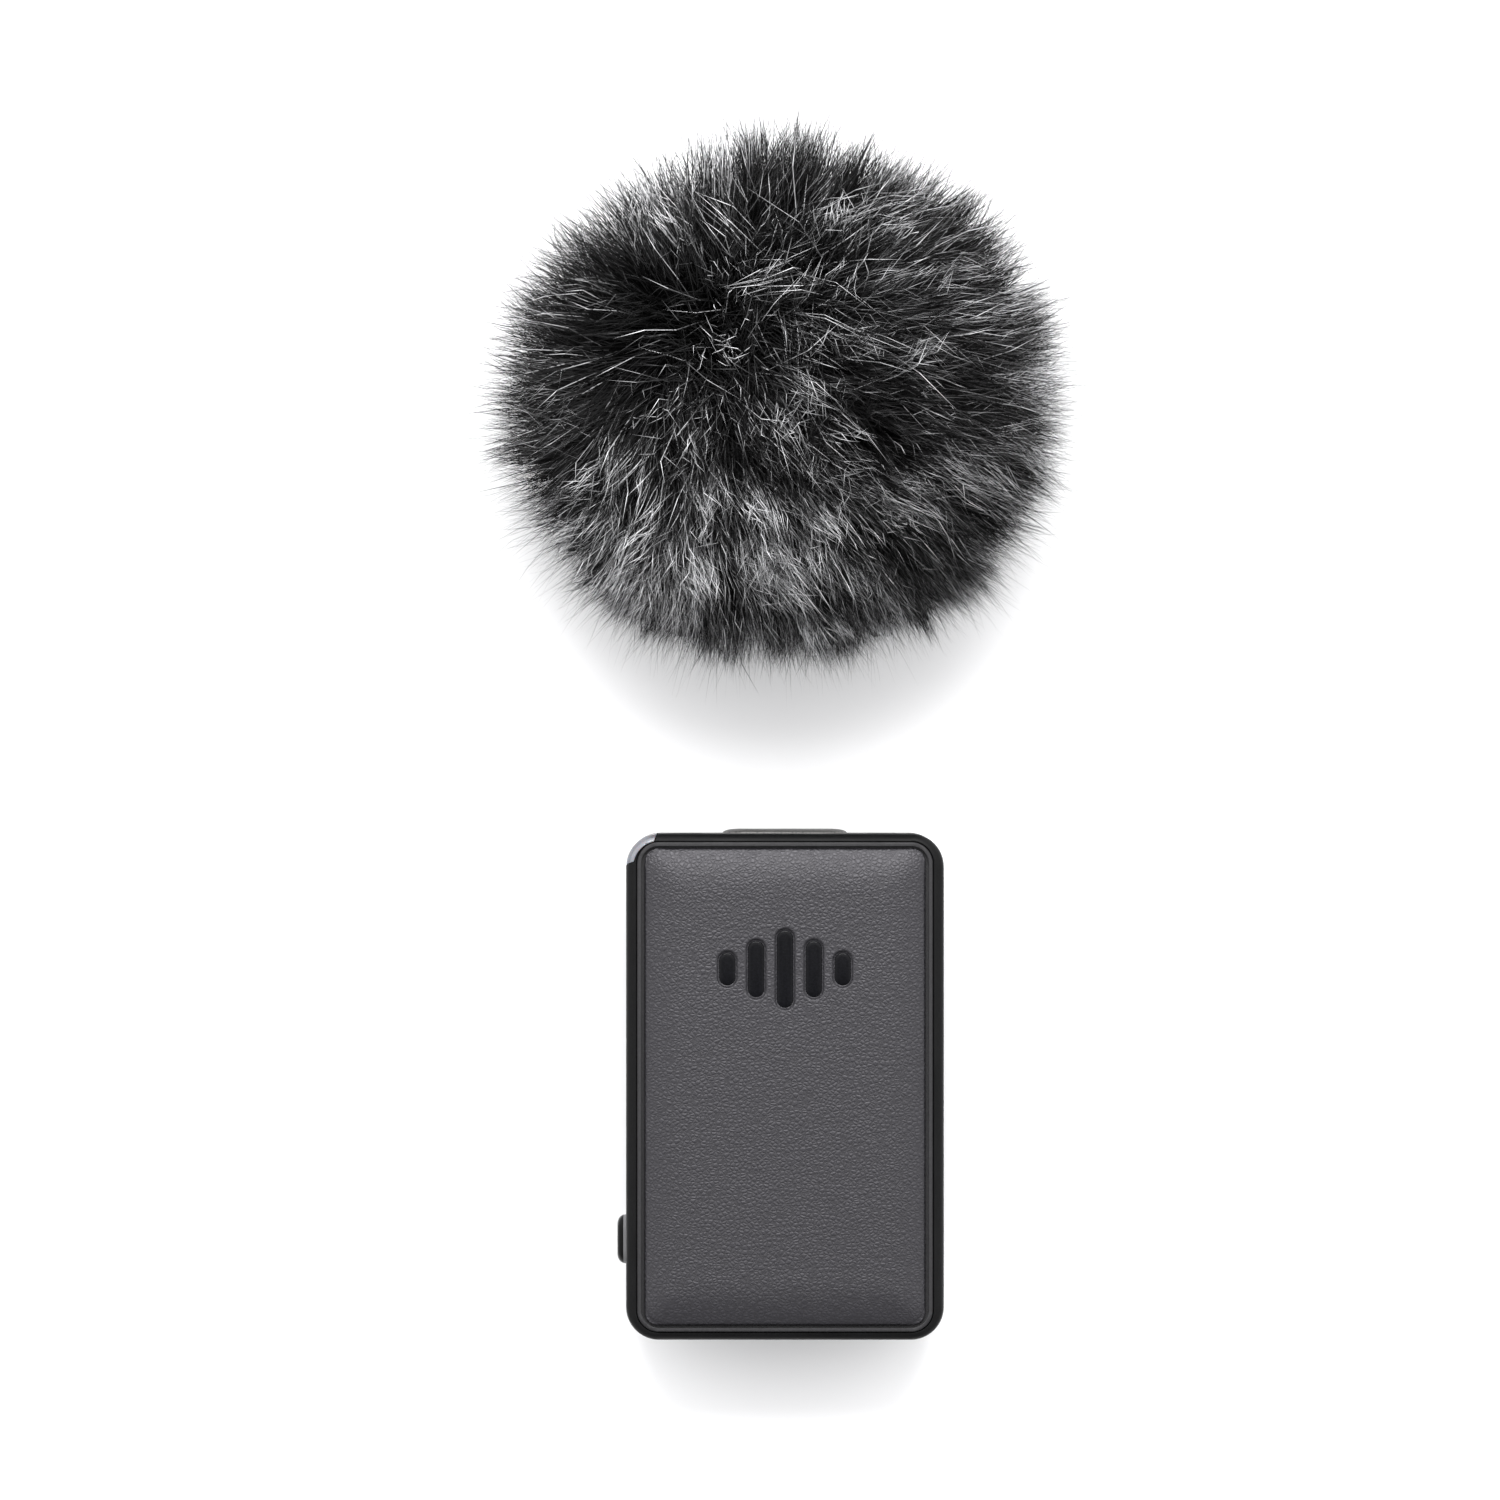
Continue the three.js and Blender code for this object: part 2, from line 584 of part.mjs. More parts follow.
function windscreenBase() {
  const ribs = [-1.8, 1.8].map((x) => block([x - 0.35, 1, -3], [x + 0.35, 1.6, 3]));
  const prongs = [-1, 1].map((side) => {
    const x = side * PRONG_X;
    const leg = crowned(roundedRect(PRONG, PRONG, 0.5), 0, PRONG_L + 0.5, 0.3, 0.6, 2);
    const turned = geometryOf(leg).rotateX(Math.PI / 2).translate(x, 0.5, 0);
    return solid(turned);
  });
  const plate = alongY(roundedRect(BASE.width, BASE.height, 2), 0, BASE.thick, 0);
  const hub = alongY(roundedRect(BASE.hubWidth, BASE.hubHeight, 2), 1, BASE.hubTop, 0);
  const body = cut(
    join(plate, hub),
    alongY(roundedRect(GRILLE_W + 0.6, GRILLE_H + 0.5, 2.4), -1, 0.7, 0),
    alongY(roundedRect(10.8, 4.2, 2), 0, BASE.hubTop + 1, 0),
  );
  return join(body, ...ribs, ...prongs);
}

function hemRing() {
  return cut(
    alongY(roundedRect(20.4, 8, 2.2), 1.85, 2.9, 0),
    alongY(roundedRect(BASE.hubWidth + 0.15, BASE.hubHeight + 0.15, 2.05), 1, 4, 0),
  );
}

function foamCore() {
  const ball = new THREE.SphereGeometry(CORE_R, 26, 16).translate(0, CORE_Y, CORE_LIFT);
  return cut(solid(ball), block([-FAR, -FAR, -FAR], [FAR, BASE.hubTop + 0.3, FAR]));
}

/** The fur's dense outer form: an egg that has settled on the surface under it. */
function furCover(floor) {
  const radii = [CORE_R + PILE - 0.2, CORE_R + PILE - 1.4, CORE_R + PILE - 3.8];
  const ball = new THREE.SphereGeometry(1, 36, 22).scale(...radii).translate(-0.7, CORE_Y + 2.1, 6.2);
  const hollow = new THREE.SphereGeometry(CORE_R + 0.3, 24, 14).translate(0, CORE_Y, CORE_LIFT);
  const neck = block([-SIDE_X - 0.5, -FAR, BACK_Z - MID_Z - 0.5], [SIDE_X + 0.5, 0, FRONT_Z - MID_Z + 0.7]);
  const hem = alongY(roundedRect(BASE.width + 0.6, BASE.height + 0.6, 2.2), -0.5, BASE.hubTop + 1, 0);
  return cut(
    solid(ball),
    block([-FAR, -FAR, floor - FAR], [FAR, FAR, floor]),
    solid(hollow),
    neck,
    hem,
  );
}

// ---------------------------------------------------------------- assembly

function piece(name, body, [colour, roughness, metalness], place = [0, 0, 0]) {
  const material = new THREE.MeshStandardMaterial({ color: colour, roughness, metalness });
  const mesh = new THREE.Mesh(geometryOf(body), material);
  mesh.name = name;
  mesh.position.set(...place);
  return mesh;
}

function casing() {
  const group = new THREE.Group();
  group.add(
    piece('housing', housing(), looks.matteBlack),
    piece('back_cover', backCover(), looks.matteBlack),
    piece('front_plate', frontPlate(), looks.matteBlack),
    piece('leatherette_pad', leatherettePad(), looks.leatherette),
    piece('emblem', emblem(), looks.glossBlack),
    piece('light_pipe', lightPipe(), looks.clear),
    piece('side_button', sideButton(), looks.glossBlack),
  );
  SCREWS.forEach(([side, y], i) => {
    const place = [side * SCREW_X, y, BACK_Z + 0.08];
    group.add(piece(`cover_screw_${i + 1}`, coverScrew(), looks.darkSteel, place));
  });
  return group;
}

function microphone() {
  const group = new THREE.Group();
  group.add(
    piece('mic_grille', micGrille(), looks.steel),
    piece('acoustic_mesh', acousticMesh(), looks.mesh),
    piece('mic_boot', micBoot(), looks.rubber),
    piece('mic_capsule', micCapsule(), looks.steel, [0, CAVITY_Y - 1.9, MID_Z]),
    piece('mic_flex', micFlex(), looks.flex),
  );
  return group;
}

function electronics() {
  const top = BOARD_TOP_Z + 0.02;
  const group = new THREE.Group();
  group.add(
    piece('main_board', mainBoard(), looks.board),
    piece('shield_can', shieldCan(11, 12, 1.3), looks.foil, [3.5, 7, top]),
    piece('radio_chip', chip(6, 6, 0.8), looks.chip, [3.5, 8.2, top]),
    piece('crystal', chip(2.5, 2, 0.6), looks.foil, [3.5, 3, top]),
    piece('codec_chip', chip(4, 4, 0.8), looks.chip, [-6, 9, top]),
    piece('charger_chip', chip(3, 3, 0.8), looks.chip, [-5, -11, top]),
    piece('power_inductor', chip(3.2, 3, 1.2), looks.ceramic, [0.5, -11, top]),
    piece('antenna', chip(5.2, 2, 1.1), looks.ceramic, [7.6, 18.2, top]),
    piece('status_lamp', chip(1.6, 1.1, 0.55), looks.lamp, [-9.4, 17.6, top]),
    piece('battery', batteryCell(), looks.foil, [1, -2, SPLIT_Z + 0.5]),
    piece('battery_pad', slab(roundedRect(14, 20, 1), 0, 0.35), looks.foam, [1, -2, SPLIT_Z + 0.08]),
    piece('battery_guard_board', chip(12, 0.7, 2.6), looks.board, [1, 10.4, SPLIT_Z + 0.8]),
    piece('battery_lead_red', batteryLead(0), looks.red),
    piece('battery_lead_black', batteryLead(1.5), looks.black),
    piece('battery_plug', batteryPlug(), looks.white),
    piece('battery_socket', batterySocket(), looks.white),
    piece('usb_shell', usbShell(), looks.steel),
    piece('usb_tongue', usbTongue(), looks.black),
    piece('switch_body', switchBody(), looks.black),
    piece('switch_plunger', switchPlunger(), looks.white),
  );
  return group;
}

function clip() {
  const group = new THREE.Group();
  group.add(
    piece('clip_arm', clipArm(), looks.matteBlack),
    piece('clip_pin', bar(PIN_R, -6.3, 6.3, HINGE_Y, HINGE_Z), looks.springSteel),
    piece('clip_spring', clipSpring(), looks.springSteel, [0, HINGE_Y, HINGE_Z]),
    piece('clip_grip_pad', gripPad(9.5, 3.5, 1.1), looks.rubber, [0, -16.5, CLIP_T + 1.32]),
  );
  const coverPad = piece('cover_grip_pad', gripPad(10.2, 4.2, 0.7), looks.rubber, [0, -16.5, BACK_Z + 0.38]);
  coverPad.rotation.y = Math.PI;
  group.add(coverPad);
  return group;
}

function windscreen() {
  const group = new THREE.Group();
  group.add(
    piece('windscreen_base', windscreenBase(), looks.matteBlack),
    piece('windscreen_hem_ring', hemRing(), looks.matteBlack),
    piece('windscreen_foam', foamCore(), looks.foam),
    piece('windscreen_fur', furCover(-MID_Z), looks.fur),
  );
  group.position.set(0, TOP_Y + 0.1 + SEAT_TO_LAID, MID_Z);
  return group;
}

const lavalier = new THREE.Group();
lavalier.add(casing(), microphone(), electronics(), clip(), windscreen());

export default lavalier;
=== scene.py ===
"""The looks of the clip-on lavalier microphone and its fur windscreen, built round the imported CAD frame.

Lengths are millimetres until they go into a mesh or a material. Only the softbox, the floor and how far
the camera sees are in metres.
"""

import json
import math

import bmesh
import bpy
import numpy as np
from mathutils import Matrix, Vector


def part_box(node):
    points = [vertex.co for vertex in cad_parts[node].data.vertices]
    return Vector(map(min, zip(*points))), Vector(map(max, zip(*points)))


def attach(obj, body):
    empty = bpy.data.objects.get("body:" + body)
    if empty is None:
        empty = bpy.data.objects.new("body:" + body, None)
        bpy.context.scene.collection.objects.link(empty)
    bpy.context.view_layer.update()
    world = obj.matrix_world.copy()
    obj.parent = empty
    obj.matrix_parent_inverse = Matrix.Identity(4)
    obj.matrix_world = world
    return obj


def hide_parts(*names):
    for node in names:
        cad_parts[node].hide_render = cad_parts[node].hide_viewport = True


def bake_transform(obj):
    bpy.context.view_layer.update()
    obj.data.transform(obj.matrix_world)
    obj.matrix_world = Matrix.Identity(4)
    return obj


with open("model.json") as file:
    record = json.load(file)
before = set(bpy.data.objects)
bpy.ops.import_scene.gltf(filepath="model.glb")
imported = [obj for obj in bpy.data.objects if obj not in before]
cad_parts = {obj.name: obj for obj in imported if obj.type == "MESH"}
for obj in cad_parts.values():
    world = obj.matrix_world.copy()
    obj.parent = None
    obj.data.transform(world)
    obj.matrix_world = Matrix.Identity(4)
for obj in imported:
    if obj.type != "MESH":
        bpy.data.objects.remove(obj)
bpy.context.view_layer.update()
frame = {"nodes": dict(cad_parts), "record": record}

MM = 0.001
UP = np.array([0.0, 0.0, 1.0])


def node_box(node):
    """A CAD node's lowest and highest corners, in millimetres."""
    low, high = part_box(node)
    return np.array(low) / MM, np.array(high) / MM


# ---------------------------------------------------------------- camera, floor and light

VIEW_CENTRE = (-2.97, 28.6)
VIEW_WIDTH = 127.3  # what the picture takes in, at the height of the front panel
LENS, SENSOR = 200.0, 36.0
NEAREST_SEEN, FARTHEST_SEEN = 0.01, 20
FLOOR_R, FLOOR_SIDES = 3, 96
FLOOR_PAINT = (0.86, 0.86, 0.865, 1)
ROOM_TINT = (1, 1, 1.005, 1)
KEY_PLACE, KEY_TARGET, KEY_SIZE, KEY_WATTS = (0.0, 0.19, 0.32), (0, 0.02, 0), (0.2, 0.13), 1.05


def aim(thing, target):
    thing.rotation_mode = "QUATERNION"
    towards = Vector(target) - thing.location
    thing.rotation_quaternion = towards.to_track_quat("-Z", "Y")


def add_camera():
    """Straight above the object, with its upper end at the top of the picture."""
    data = bpy.data.cameras.new("camera")
    data.lens, data.sensor_width = LENS, SENSOR
    data.clip_start, data.clip_end = NEAREST_SEEN, FARTHEST_SEEN
    camera = bpy.data.objects.new("camera", data)
    bpy.context.collection.objects.link(camera)
    panel_top = node_box("housing")[1][2]
    height = panel_top + VIEW_WIDTH * LENS / SENSOR
    camera.location = (VIEW_CENTRE[0] * MM, VIEW_CENTRE[1] * MM, height * MM)
    bpy.context.scene.camera = camera


def add_softbox():
    """The key light, over the object's upper end."""
    data = bpy.data.lights.new("key", "AREA")
    data.shape, (data.size, data.size_y) = "RECTANGLE", KEY_SIZE
    data.energy = KEY_WATTS
    light = bpy.data.objects.new("key", data)
    bpy.context.collection.objects.link(light)
    light.location = KEY_PLACE
    aim(light, KEY_TARGET)


ROOM_LIGHT, ROOM_SLOPE = 1.80, 1.35  # the middle of the room's light, and how much more +Y gives
DARK_SIDE = (0.0, -0.35, 0.94)  # towards the unlit part of the ceiling
DARK_FROM, DARK_ALL, DARK_LEFT = 0.86, 0.975, 0.28  # how near that direction, and what is left there


def add_surroundings():
    """A pale room, brighter beyond the object's upper end, with an unlit patch of ceiling."""
    world = bpy.data.worlds.new("pale_room")
    bpy.context.scene.world = world
    world.use_nodes = True
    room, background = Nodes(world.node_tree), world.node_tree.nodes["Background"]
    way = room.add("ShaderNodeTexCoord").outputs["Generated"]
    far = room.add("ShaderNodeSeparateXYZ", {0: way}).outputs["Y"]
    slope = room.add("ShaderNodeMath", {0: far, 1: ROOM_SLOPE, 2: ROOM_LIGHT}, operation="MULTIPLY_ADD")
    nearness = room.add("ShaderNodeVectorMath", {0: way, 1: DARK_SIDE}, operation="DOT_PRODUCT")
    patch = room.span(nearness.outputs["Value"], DARK_FROM, DARK_ALL, 1.0, DARK_LEFT)
    strength = room.combine("MULTIPLY", slope.outputs[0], patch)
    room.tree.links.new(strength, background.inputs["Strength"])
    background.inputs["Color"].default_value = ROOM_TINT


def add_floor():
    bpy.ops.mesh.primitive_circle_add(vertices=FLOOR_SIDES, radius=FLOOR_R, fill_type="NGON")
    floor = bpy.context.object
    floor.name = "floor"
    sockets = {"Base Color": FLOOR_PAINT, "Roughness": 0.85, "Specular IOR Level": 0.1}
    floor.data.materials.append(Look("floor_paint", **sockets).material)


# ---------------------------------------------------------------- materials


WAVE_PERIOD = 0.314  # of the wave texture, at a scale of 1
NOISE_LOW, NOISE_HIGH = 0.3, 0.7  # most of a noise texture's values lie between these


class Nodes:
    """A node tree to build on."""

    def __init__(self, tree):
        self.tree = tree

    def add(self, kind, inputs=None, **settings):
        node = self.tree.nodes.new(kind)
        for name, value in settings.items():
            setattr(node, name, value)
        for name, value in (inputs or {}).items():
            if isinstance(value, bpy.types.NodeSocket):
                self.tree.links.new(value, node.inputs[name])
            else:
                node.inputs[name].default_value = value
        return node

    def combine(self, operation, a, b):
        return self.add("ShaderNodeMath", {0: a, 1: b}, operation=operation).outputs[0]

    def total(self, *parts):
        """The values of (value, share) pairs, weighted and added up."""
        terms = [self.combine("MULTIPLY", value, share) for value, share in parts]
        so_far = terms[0]
        for term in terms[1:]:
            so_far = self.combine("ADD", so_far, term)
        return so_far

    def span(self, value, low, high, new_low, new_high):
        """value, as it goes from low to high, turned into new_low to new_high and held there."""
        ends = {"From Min": low, "From Max": high, "To Min": new_low, "To Max": new_high}
        return self.add("ShaderNodeMapRange", {"Value": value} | ends).outputs[0]


class Look(Nodes):
    """A material whose patterns lie in the part's own coordinates, in metres."""

    def __init__(self, name, **sockets):
        self.material = bpy.data.materials.new(name)
        self.material.use_nodes = True
        super().__init__(self.material.node_tree)
        self.shader = self.tree.nodes["Principled BSDF"]
        for socket, value in sockets.items():
            self.shader.inputs[socket].default_value = value

    def place(self, stretch=(1, 1, 1)):
        here = self.add("ShaderNodeTexCoord").outputs["Object"]
        if stretch == (1, 1, 1):
            return here
        return self.add("ShaderNodeMapping", {"Vector": here, "Scale": stretch}).outputs[0]

    def noise(self, period, detail=3.0, distortion=0.0, stretch=(1, 1, 1)):
        """Smooth noise with blobs of about period millimetres."""
        inputs = {"Vector": self.place(stretch), "Scale": 1 / (period * MM), "Detail": detail}
        return self.add("ShaderNodeTexNoise", inputs | {"Distortion": distortion}).outputs[0]

    def cells(self, period, feature="F1", randomness=1.0, stretch=(1, 1, 1)):
        """Distance within cells of about period millimetres."""
        inputs = {"Vector": self.place(stretch), "Scale": 1 / (period * MM), "Randomness": randomness}
        return self.add("ShaderNodeTexVoronoi", inputs, feature=feature).outputs["Distance"]

    def waves(self, period, direction):
        """Parallel waves, period millimetres apart."""
        inputs = {"Vector": self.place(), "Scale": WAVE_PERIOD / (period * MM)}
        return self.add("ShaderNodeTexWave", inputs, bands_direction=direction).outputs["Fac"]

    def colours(self, value, *stops):
        """The colour at value, between stops of (position, (red, green, blue))."""
        ramp = self.add("ShaderNodeValToRGB", {0: value})
        elements = ramp.color_ramp.elements
        while len(elements) < len(stops):
            elements.new(0.5)
        for element, (position, rgb) in zip(elements, stops, strict=True):
            element.position, element.color = position, (*rgb, 1)
        self.tree.links.new(ramp.outputs[0], self.shader.inputs["Base Color"])

    def roughness(self, value, smooth, rough):
        between = self.span(value, NOISE_LOW, NOISE_HIGH, smooth, rough)
        self.tree.links.new(between, self.shader.inputs["Roughness"])

    def bump(self, *heights):
        """Relief from pairs of (value, depth in millimetres), the coarsest first."""
        normal = None
        for value, depth in heights:
            inputs = {"Height": value, "Distance": depth * MM, "Strength": 1.0}
            if normal is not None:
                inputs["Normal"] = normal
            normal = self.add("ShaderNodeBump", inputs).outputs[0]
        self.tree.links.new(normal, self.shader.inputs["Normal"])


def shades(rgb, spread):
    """rgb made darker and lighter by a share of itself."""
    return tuple(c * (1 - spread) for c in rgb), tuple(min(1, c * (1 + spread)) for c in rgb)


def moulded(name, rgb, grain, depth, smooth, rough, spread, **sockets):
    """Moulded plastic, rubber or epoxy: a fine grain, with faint cloudy handling marks."""
    look = Look(name, **sockets)
    fine, cloud = look.noise(grain, detail=2), look.noise(grain * 25, detail=4)
    dark, light = shades(rgb, spread)
    tone = look.combine("MULTIPLY", fine, look.span(cloud, NOISE_LOW, NOISE_HIGH, 0.8, 1.2))
    look.colours(tone, (NOISE_LOW, dark), (NOISE_HIGH, light))
    look.roughness(cloud, smooth, rough)
    look.bump((fine, depth))
    return look.material


def brushed(name, rgb, stretch, smooth, rough):
    """Drawn or rolled metal, with fine lines along one direction."""
    look = Look(name, Metallic=1.0)
    lines, cloud = look.noise(0.12, detail=3, stretch=stretch), look.noise(2.5, detail=3)
    dark, light = shades(rgb, 0.18)
    look.colours(lines, (NOISE_LOW, dark), (NOISE_HIGH, light))
    look.roughness(look.total((lines, 0.5), (cloud, 0.5)), smooth, rough)
    look.bump((lines, 0.003))
    return look.material


def leatherette_look():
    """Pebbled grey sheet with a faint violet cast: paler pebbles, with painted shade darkening the creases
    between them.
    """
    look = Look("leatherette", **{"Specular IOR Level": 0.5, "Specular Tint": (0.97, 0.95, 1.0, 1)})
    warp = look.noise(1.1, detail=2)
    crease = look.cells(0.36, feature="DISTANCE_TO_EDGE", stretch=(1.0, 1.12, 1.0))
    pebble = look.span(crease, 0.0, 0.32, 0.0, 1.0)
    fine = look.noise(0.09, detail=3)
    # painted shade: the colour darkens towards the creases between the pebbles
    tone = look.total((pebble, 0.55), (fine, 0.3), (warp, 0.22))
    look.colours(
        tone,
        (0.15, (0.0055, 0.0052, 0.0064)),
        (0.55, (0.0090, 0.0086, 0.0106)),
        (0.95, (0.015, 0.0144, 0.0172)),
    )
    look.roughness(tone, 0.47, 0.40)
    look.bump((warp, 0.02), (pebble, 0.02), (fine, 0.008))
    return look.material


def trim_look():
    """The narrow lip round the pad: the same grey, smoother."""
    look = Look("panel_trim", **{"Specular IOR Level": 0.3})
    fine, cloud = look.noise(0.14, detail=3), look.noise(1.6, detail=3)
    look.colours(fine, (NOISE_LOW, (0.012, 0.0115, 0.0125)), (NOISE_HIGH, (0.022, 0.0215, 0.0235)))
    look.roughness(cloud, 0.42, 0.55)
    look.bump((cloud, 0.012), (fine, 0.008))
    return look.material


HIGHLIGHT_FROM, HIGHLIGHT_EDGE = 0.5, 0.03  # where the painted highlight on the button's side begins, from the button's outer face, and how soft its edge is


def button_look():
    """Polished black, with a painted highlight: a paler band next to the casing, where the button's side
    catches the light.
    """
    look = Look("button_gloss", **{"Specular IOR Level": 0.06})
    fine = look.noise(0.1, detail=2)
    across = look.add("ShaderNodeSeparateXYZ", {0: look.place()}).outputs["X"]
    edge = (node_box("side_button")[0][0] + HIGHLIGHT_FROM) * MM
    # painted highlight: the button's side next to the casing is coloured paler, as if lit
    painted_highlight = look.span(across, edge, edge + HIGHLIGHT_EDGE * MM, 0.0, 1.0)
    look.colours(
        look.total((painted_highlight, 1.0), (fine, 0.12)),
        (0.0, (0.003, 0.003, 0.003)),
        (0.3, (0.006, 0.006, 0.006)),
        (1.0, (0.16, 0.16, 0.165)),
    )
    look.roughness(fine, 0.16, 0.26)
    look.bump((fine, 0.003))
    return look.material


PIPE_R = 2.8  # round the outside of the lit corner
PIPE_GLOW = 0.4  # how far light goes inside it
PIPE_SHADE_FROM, PIPE_SHADE_TO = 0.34, 0.26  # where the painted shade of its shoulder begins and where it is full, in from the outside


def light_pipe_look():
    """Frosted clear plastic, a little cloudy inside, with painted shade darkening a band round its outside
    for its shoulder.
    """
    low, high = node_box("light_pipe")
    look = Look(
        "light_pipe_frost",
        **{"Subsurface Weight": 0.3, "Subsurface Scale": PIPE_GLOW * MM, "IOR": 1.49, "Coat Weight": 0.3},
    )
    cloud, fine = look.noise(0.8, detail=3), look.noise(0.1, detail=2)
    inputs = {"Vector": look.place(), "Location": (-(low[0] + PIPE_R) * MM, -(high[1] - PIPE_R) * MM, 0)}
    flat = look.add("ShaderNodeMapping", inputs | {"Scale": (1, 1, 0)}).outputs[0]
    radius = look.add("ShaderNodeVectorMath", {0: flat}, operation="LENGTH").outputs["Value"]
    # painted shade: the outer band, where the shoulder turns from the light, is coloured darker
    step = look.span(radius, (PIPE_R - PIPE_SHADE_FROM) * MM, (PIPE_R - PIPE_SHADE_TO) * MM, 1.0, 0.0)
    tone = look.total((step, 0.6), (cloud, 0.4))
    look.colours(tone, (0.1, (0.085, 0.086, 0.100)), (0.9, (0.160, 0.162, 0.182)))
    look.roughness(fine, 0.22, 0.4)
    look.bump((fine, 0.004))
    return look.material


def grille_look():
    """Painted steel with the small pressed cells of a fine mesh."""
    look = Look("grille_paint", Metallic=0.55)
    cell = look.cells(0.30, randomness=0.25, stretch=(1, 0.6, 1))
    fine = look.noise(0.08, detail=2)
    tone = look.total((look.span(cell, 0.1, 0.45, 0.0, 0.8), 1.0), (fine, 0.3))
    look.colours(tone, (0.15, (0.035, 0.034, 0.033)), (0.85, (0.105, 0.103, 0.100)))
    look.roughness(fine, 0.38, 0.52)
    look.bump((cell, 0.03), (fine, 0.004))
    return look.material


def woven_look(name, rgb, pitch):
    """A plain weave: two sets of threads that pass over and under each other."""
    look = Look(name)
    across, along = look.waves(pitch, "X"), look.waves(pitch, "Z")
    weave, fuzz = look.combine("MAXIMUM", across, along), look.noise(pitch / 3, detail=3)
    dark, light = shades(rgb, 0.5)
    tone = look.combine("MULTIPLY", weave, look.span(fuzz, NOISE_LOW, NOISE_HIGH, 0.7, 1.0))
    look.colours(tone, (0.1, dark), (0.9, light))
    look.roughness(fuzz, 0.75, 0.95)
    look.bump((weave, 0.03), (fuzz, 0.01))
    return look.material


def board_look():
    """Green solder mask over copper tracks, with tinned vias."""
    look = Look("solder_mask", **{"Coat Weight": 0.3, "Coat Roughness": 0.2})
    blocks = look.cells(1.3, feature="DISTANCE_TO_EDGE", randomness=0.65)
    tracks = look.span(blocks, 0.05, 0.09, 1.0, 0.0)
    vias = look.span(look.cells(1.9, randomness=0.9), 0.09, 0.12, 1.0, 0.0)
    fine = look.noise(0.2, detail=2)
    look.colours(
        look.combine("MAXIMUM", look.total((tracks, 0.3), (fine, 0.15)), vias),
        (0.05, (0.004, 0.035, 0.020)),
        (0.40, (0.012, 0.085, 0.045)),
        (0.80, (0.55, 0.52, 0.44)),
    )
    look.roughness(fine, 0.28, 0.42)
    look.bump((tracks, 0.03), (fine, 0.004))
    return look.material


def flex_look():
    """Amber film over copper strips."""
    look = Look("flex_film", **{"Coat Weight": 0.4, "Coat Roughness": 0.15})
    strips, fine = look.waves(0.5, "X"), look.noise(0.15, detail=2)
    tone = look.total((look.span(strips, 0.4, 0.6, 0.0, 0.7), 1.0), (fine, 0.3))
    look.colours(tone, (0.1, (0.20, 0.055, 0.008)), (0.9, (0.50, 0.20, 0.05)))
    look.roughness(fine, 0.25, 0.4)
    look.bump((strips, 0.015))
    return look.material


def foil_look():
    """The crinkled aluminium pouch of a lithium cell."""
    look = Look("pouch_foil", Metallic=0.9)
    crinkle = look.cells(2.6, feature="SMOOTH_F1")
    fine = look.noise(0.25, detail=4, distortion=0.8)
    dark, light = shades((0.50, 0.51, 0.53), 0.15)
    look.colours(fine, (NOISE_LOW, dark), (NOISE_HIGH, light))
    look.roughness(fine, 0.28, 0.45)
    look.bump((crinkle, 0.12), (fine, 0.01))
    return look.material


def foam_look():
    """Open-cell foam: dark pores between paler struts."""
    look = Look("open_foam")
    pore = look.cells(0.45, feature="DISTANCE_TO_EDGE")
    fine = look.noise(0.12, detail=3)
    strut = look.span(pore, 0.0, 0.3, 0.0, 1.0)
    look.colours(strut, (0.1, (0.035, 0.035, 0.037)), (0.8, (0.006, 0.006, 0.006)))
    look.roughness(fine, 0.85, 1.0)
    look.bump((look.span(pore, 0.0, 0.25, 1.0, 0.0), 0.15), (fine, 0.02))
    return look.material


def part_looks():
    """The material of each slot that the record names, apart from the fur's."""
    matte, glossy = {"Specular IOR Level": 0.09}, {"Specular IOR Level": 0.12}
    return {
        "casing": moulded("casing_satin", (0.0040, 0.0040, 0.0042), 0.14, 0.006, 0.36, 0.5, 0.3, **matte),
        "leatherette": leatherette_look(),
        "gloss_inlay": moulded("inlay_gloss", (0.003, 0.003, 0.004), 0.2, 0.0015, 0.05, 0.12, 0.3, **glossy),
        "gloss_button": button_look(),
        "light_pipe": light_pipe_look(),
        "grille": grille_look(),
        "acoustic_cloth": woven_look("acoustic_weave", (0.02, 0.02, 0.022), 0.15),
        "rubber": moulded("rubber_matte", (0.018, 0.018, 0.018), 0.09, 0.012, 0.72, 0.9, 0.35),
        "tin": brushed("tinned_sheet", (0.52, 0.52, 0.53), (1, 12, 1), 0.25, 0.42),
        "flex": flex_look(),
        "board": board_look(),
        "chip": moulded("chip_epoxy", (0.014, 0.014, 0.015), 0.06, 0.006, 0.5, 0.68, 0.4),
        "ceramic": moulded("fired_ceramic", (0.62, 0.57, 0.48), 0.15, 0.005, 0.4, 0.6, 0.08),
        "lamp": moulded("lamp_epoxy", (0.8, 0.8, 0.66), 0.2, 0.003, 0.12, 0.25, 0.06),
        "foil": foil_look(),
        "foam": foam_look(),
        "lead_red": moulded("lead_red", (0.45, 0.012, 0.010), 0.1, 0.004, 0.3, 0.45, 0.12),
        "lead_black": moulded("lead_black", (0.012, 0.012, 0.012), 0.1, 0.004, 0.3, 0.45, 0.3),
        "white_nylon": moulded("white_nylon", (0.70, 0.68, 0.62), 0.1, 0.004, 0.38, 0.55, 0.06),
        "black_nylon": moulded("black_nylon", (0.012, 0.012, 0.012), 0.1, 0.006, 0.4, 0.6, 0.35),
        "socket_steel": brushed("socket_steel", (0.48, 0.48, 0.49), (1, 14, 1), 0.22, 0.4),
        "screw_steel": brushed("screw_steel", (0.10, 0.10, 0.105), (1, 1, 8), 0.3, 0.5),
        "spring_steel": brushed("spring_steel", (0.55, 0.55, 0.56), (1, 6, 6), 0.18, 0.34),
    }


# ---------------------------------------------------------------- meshes


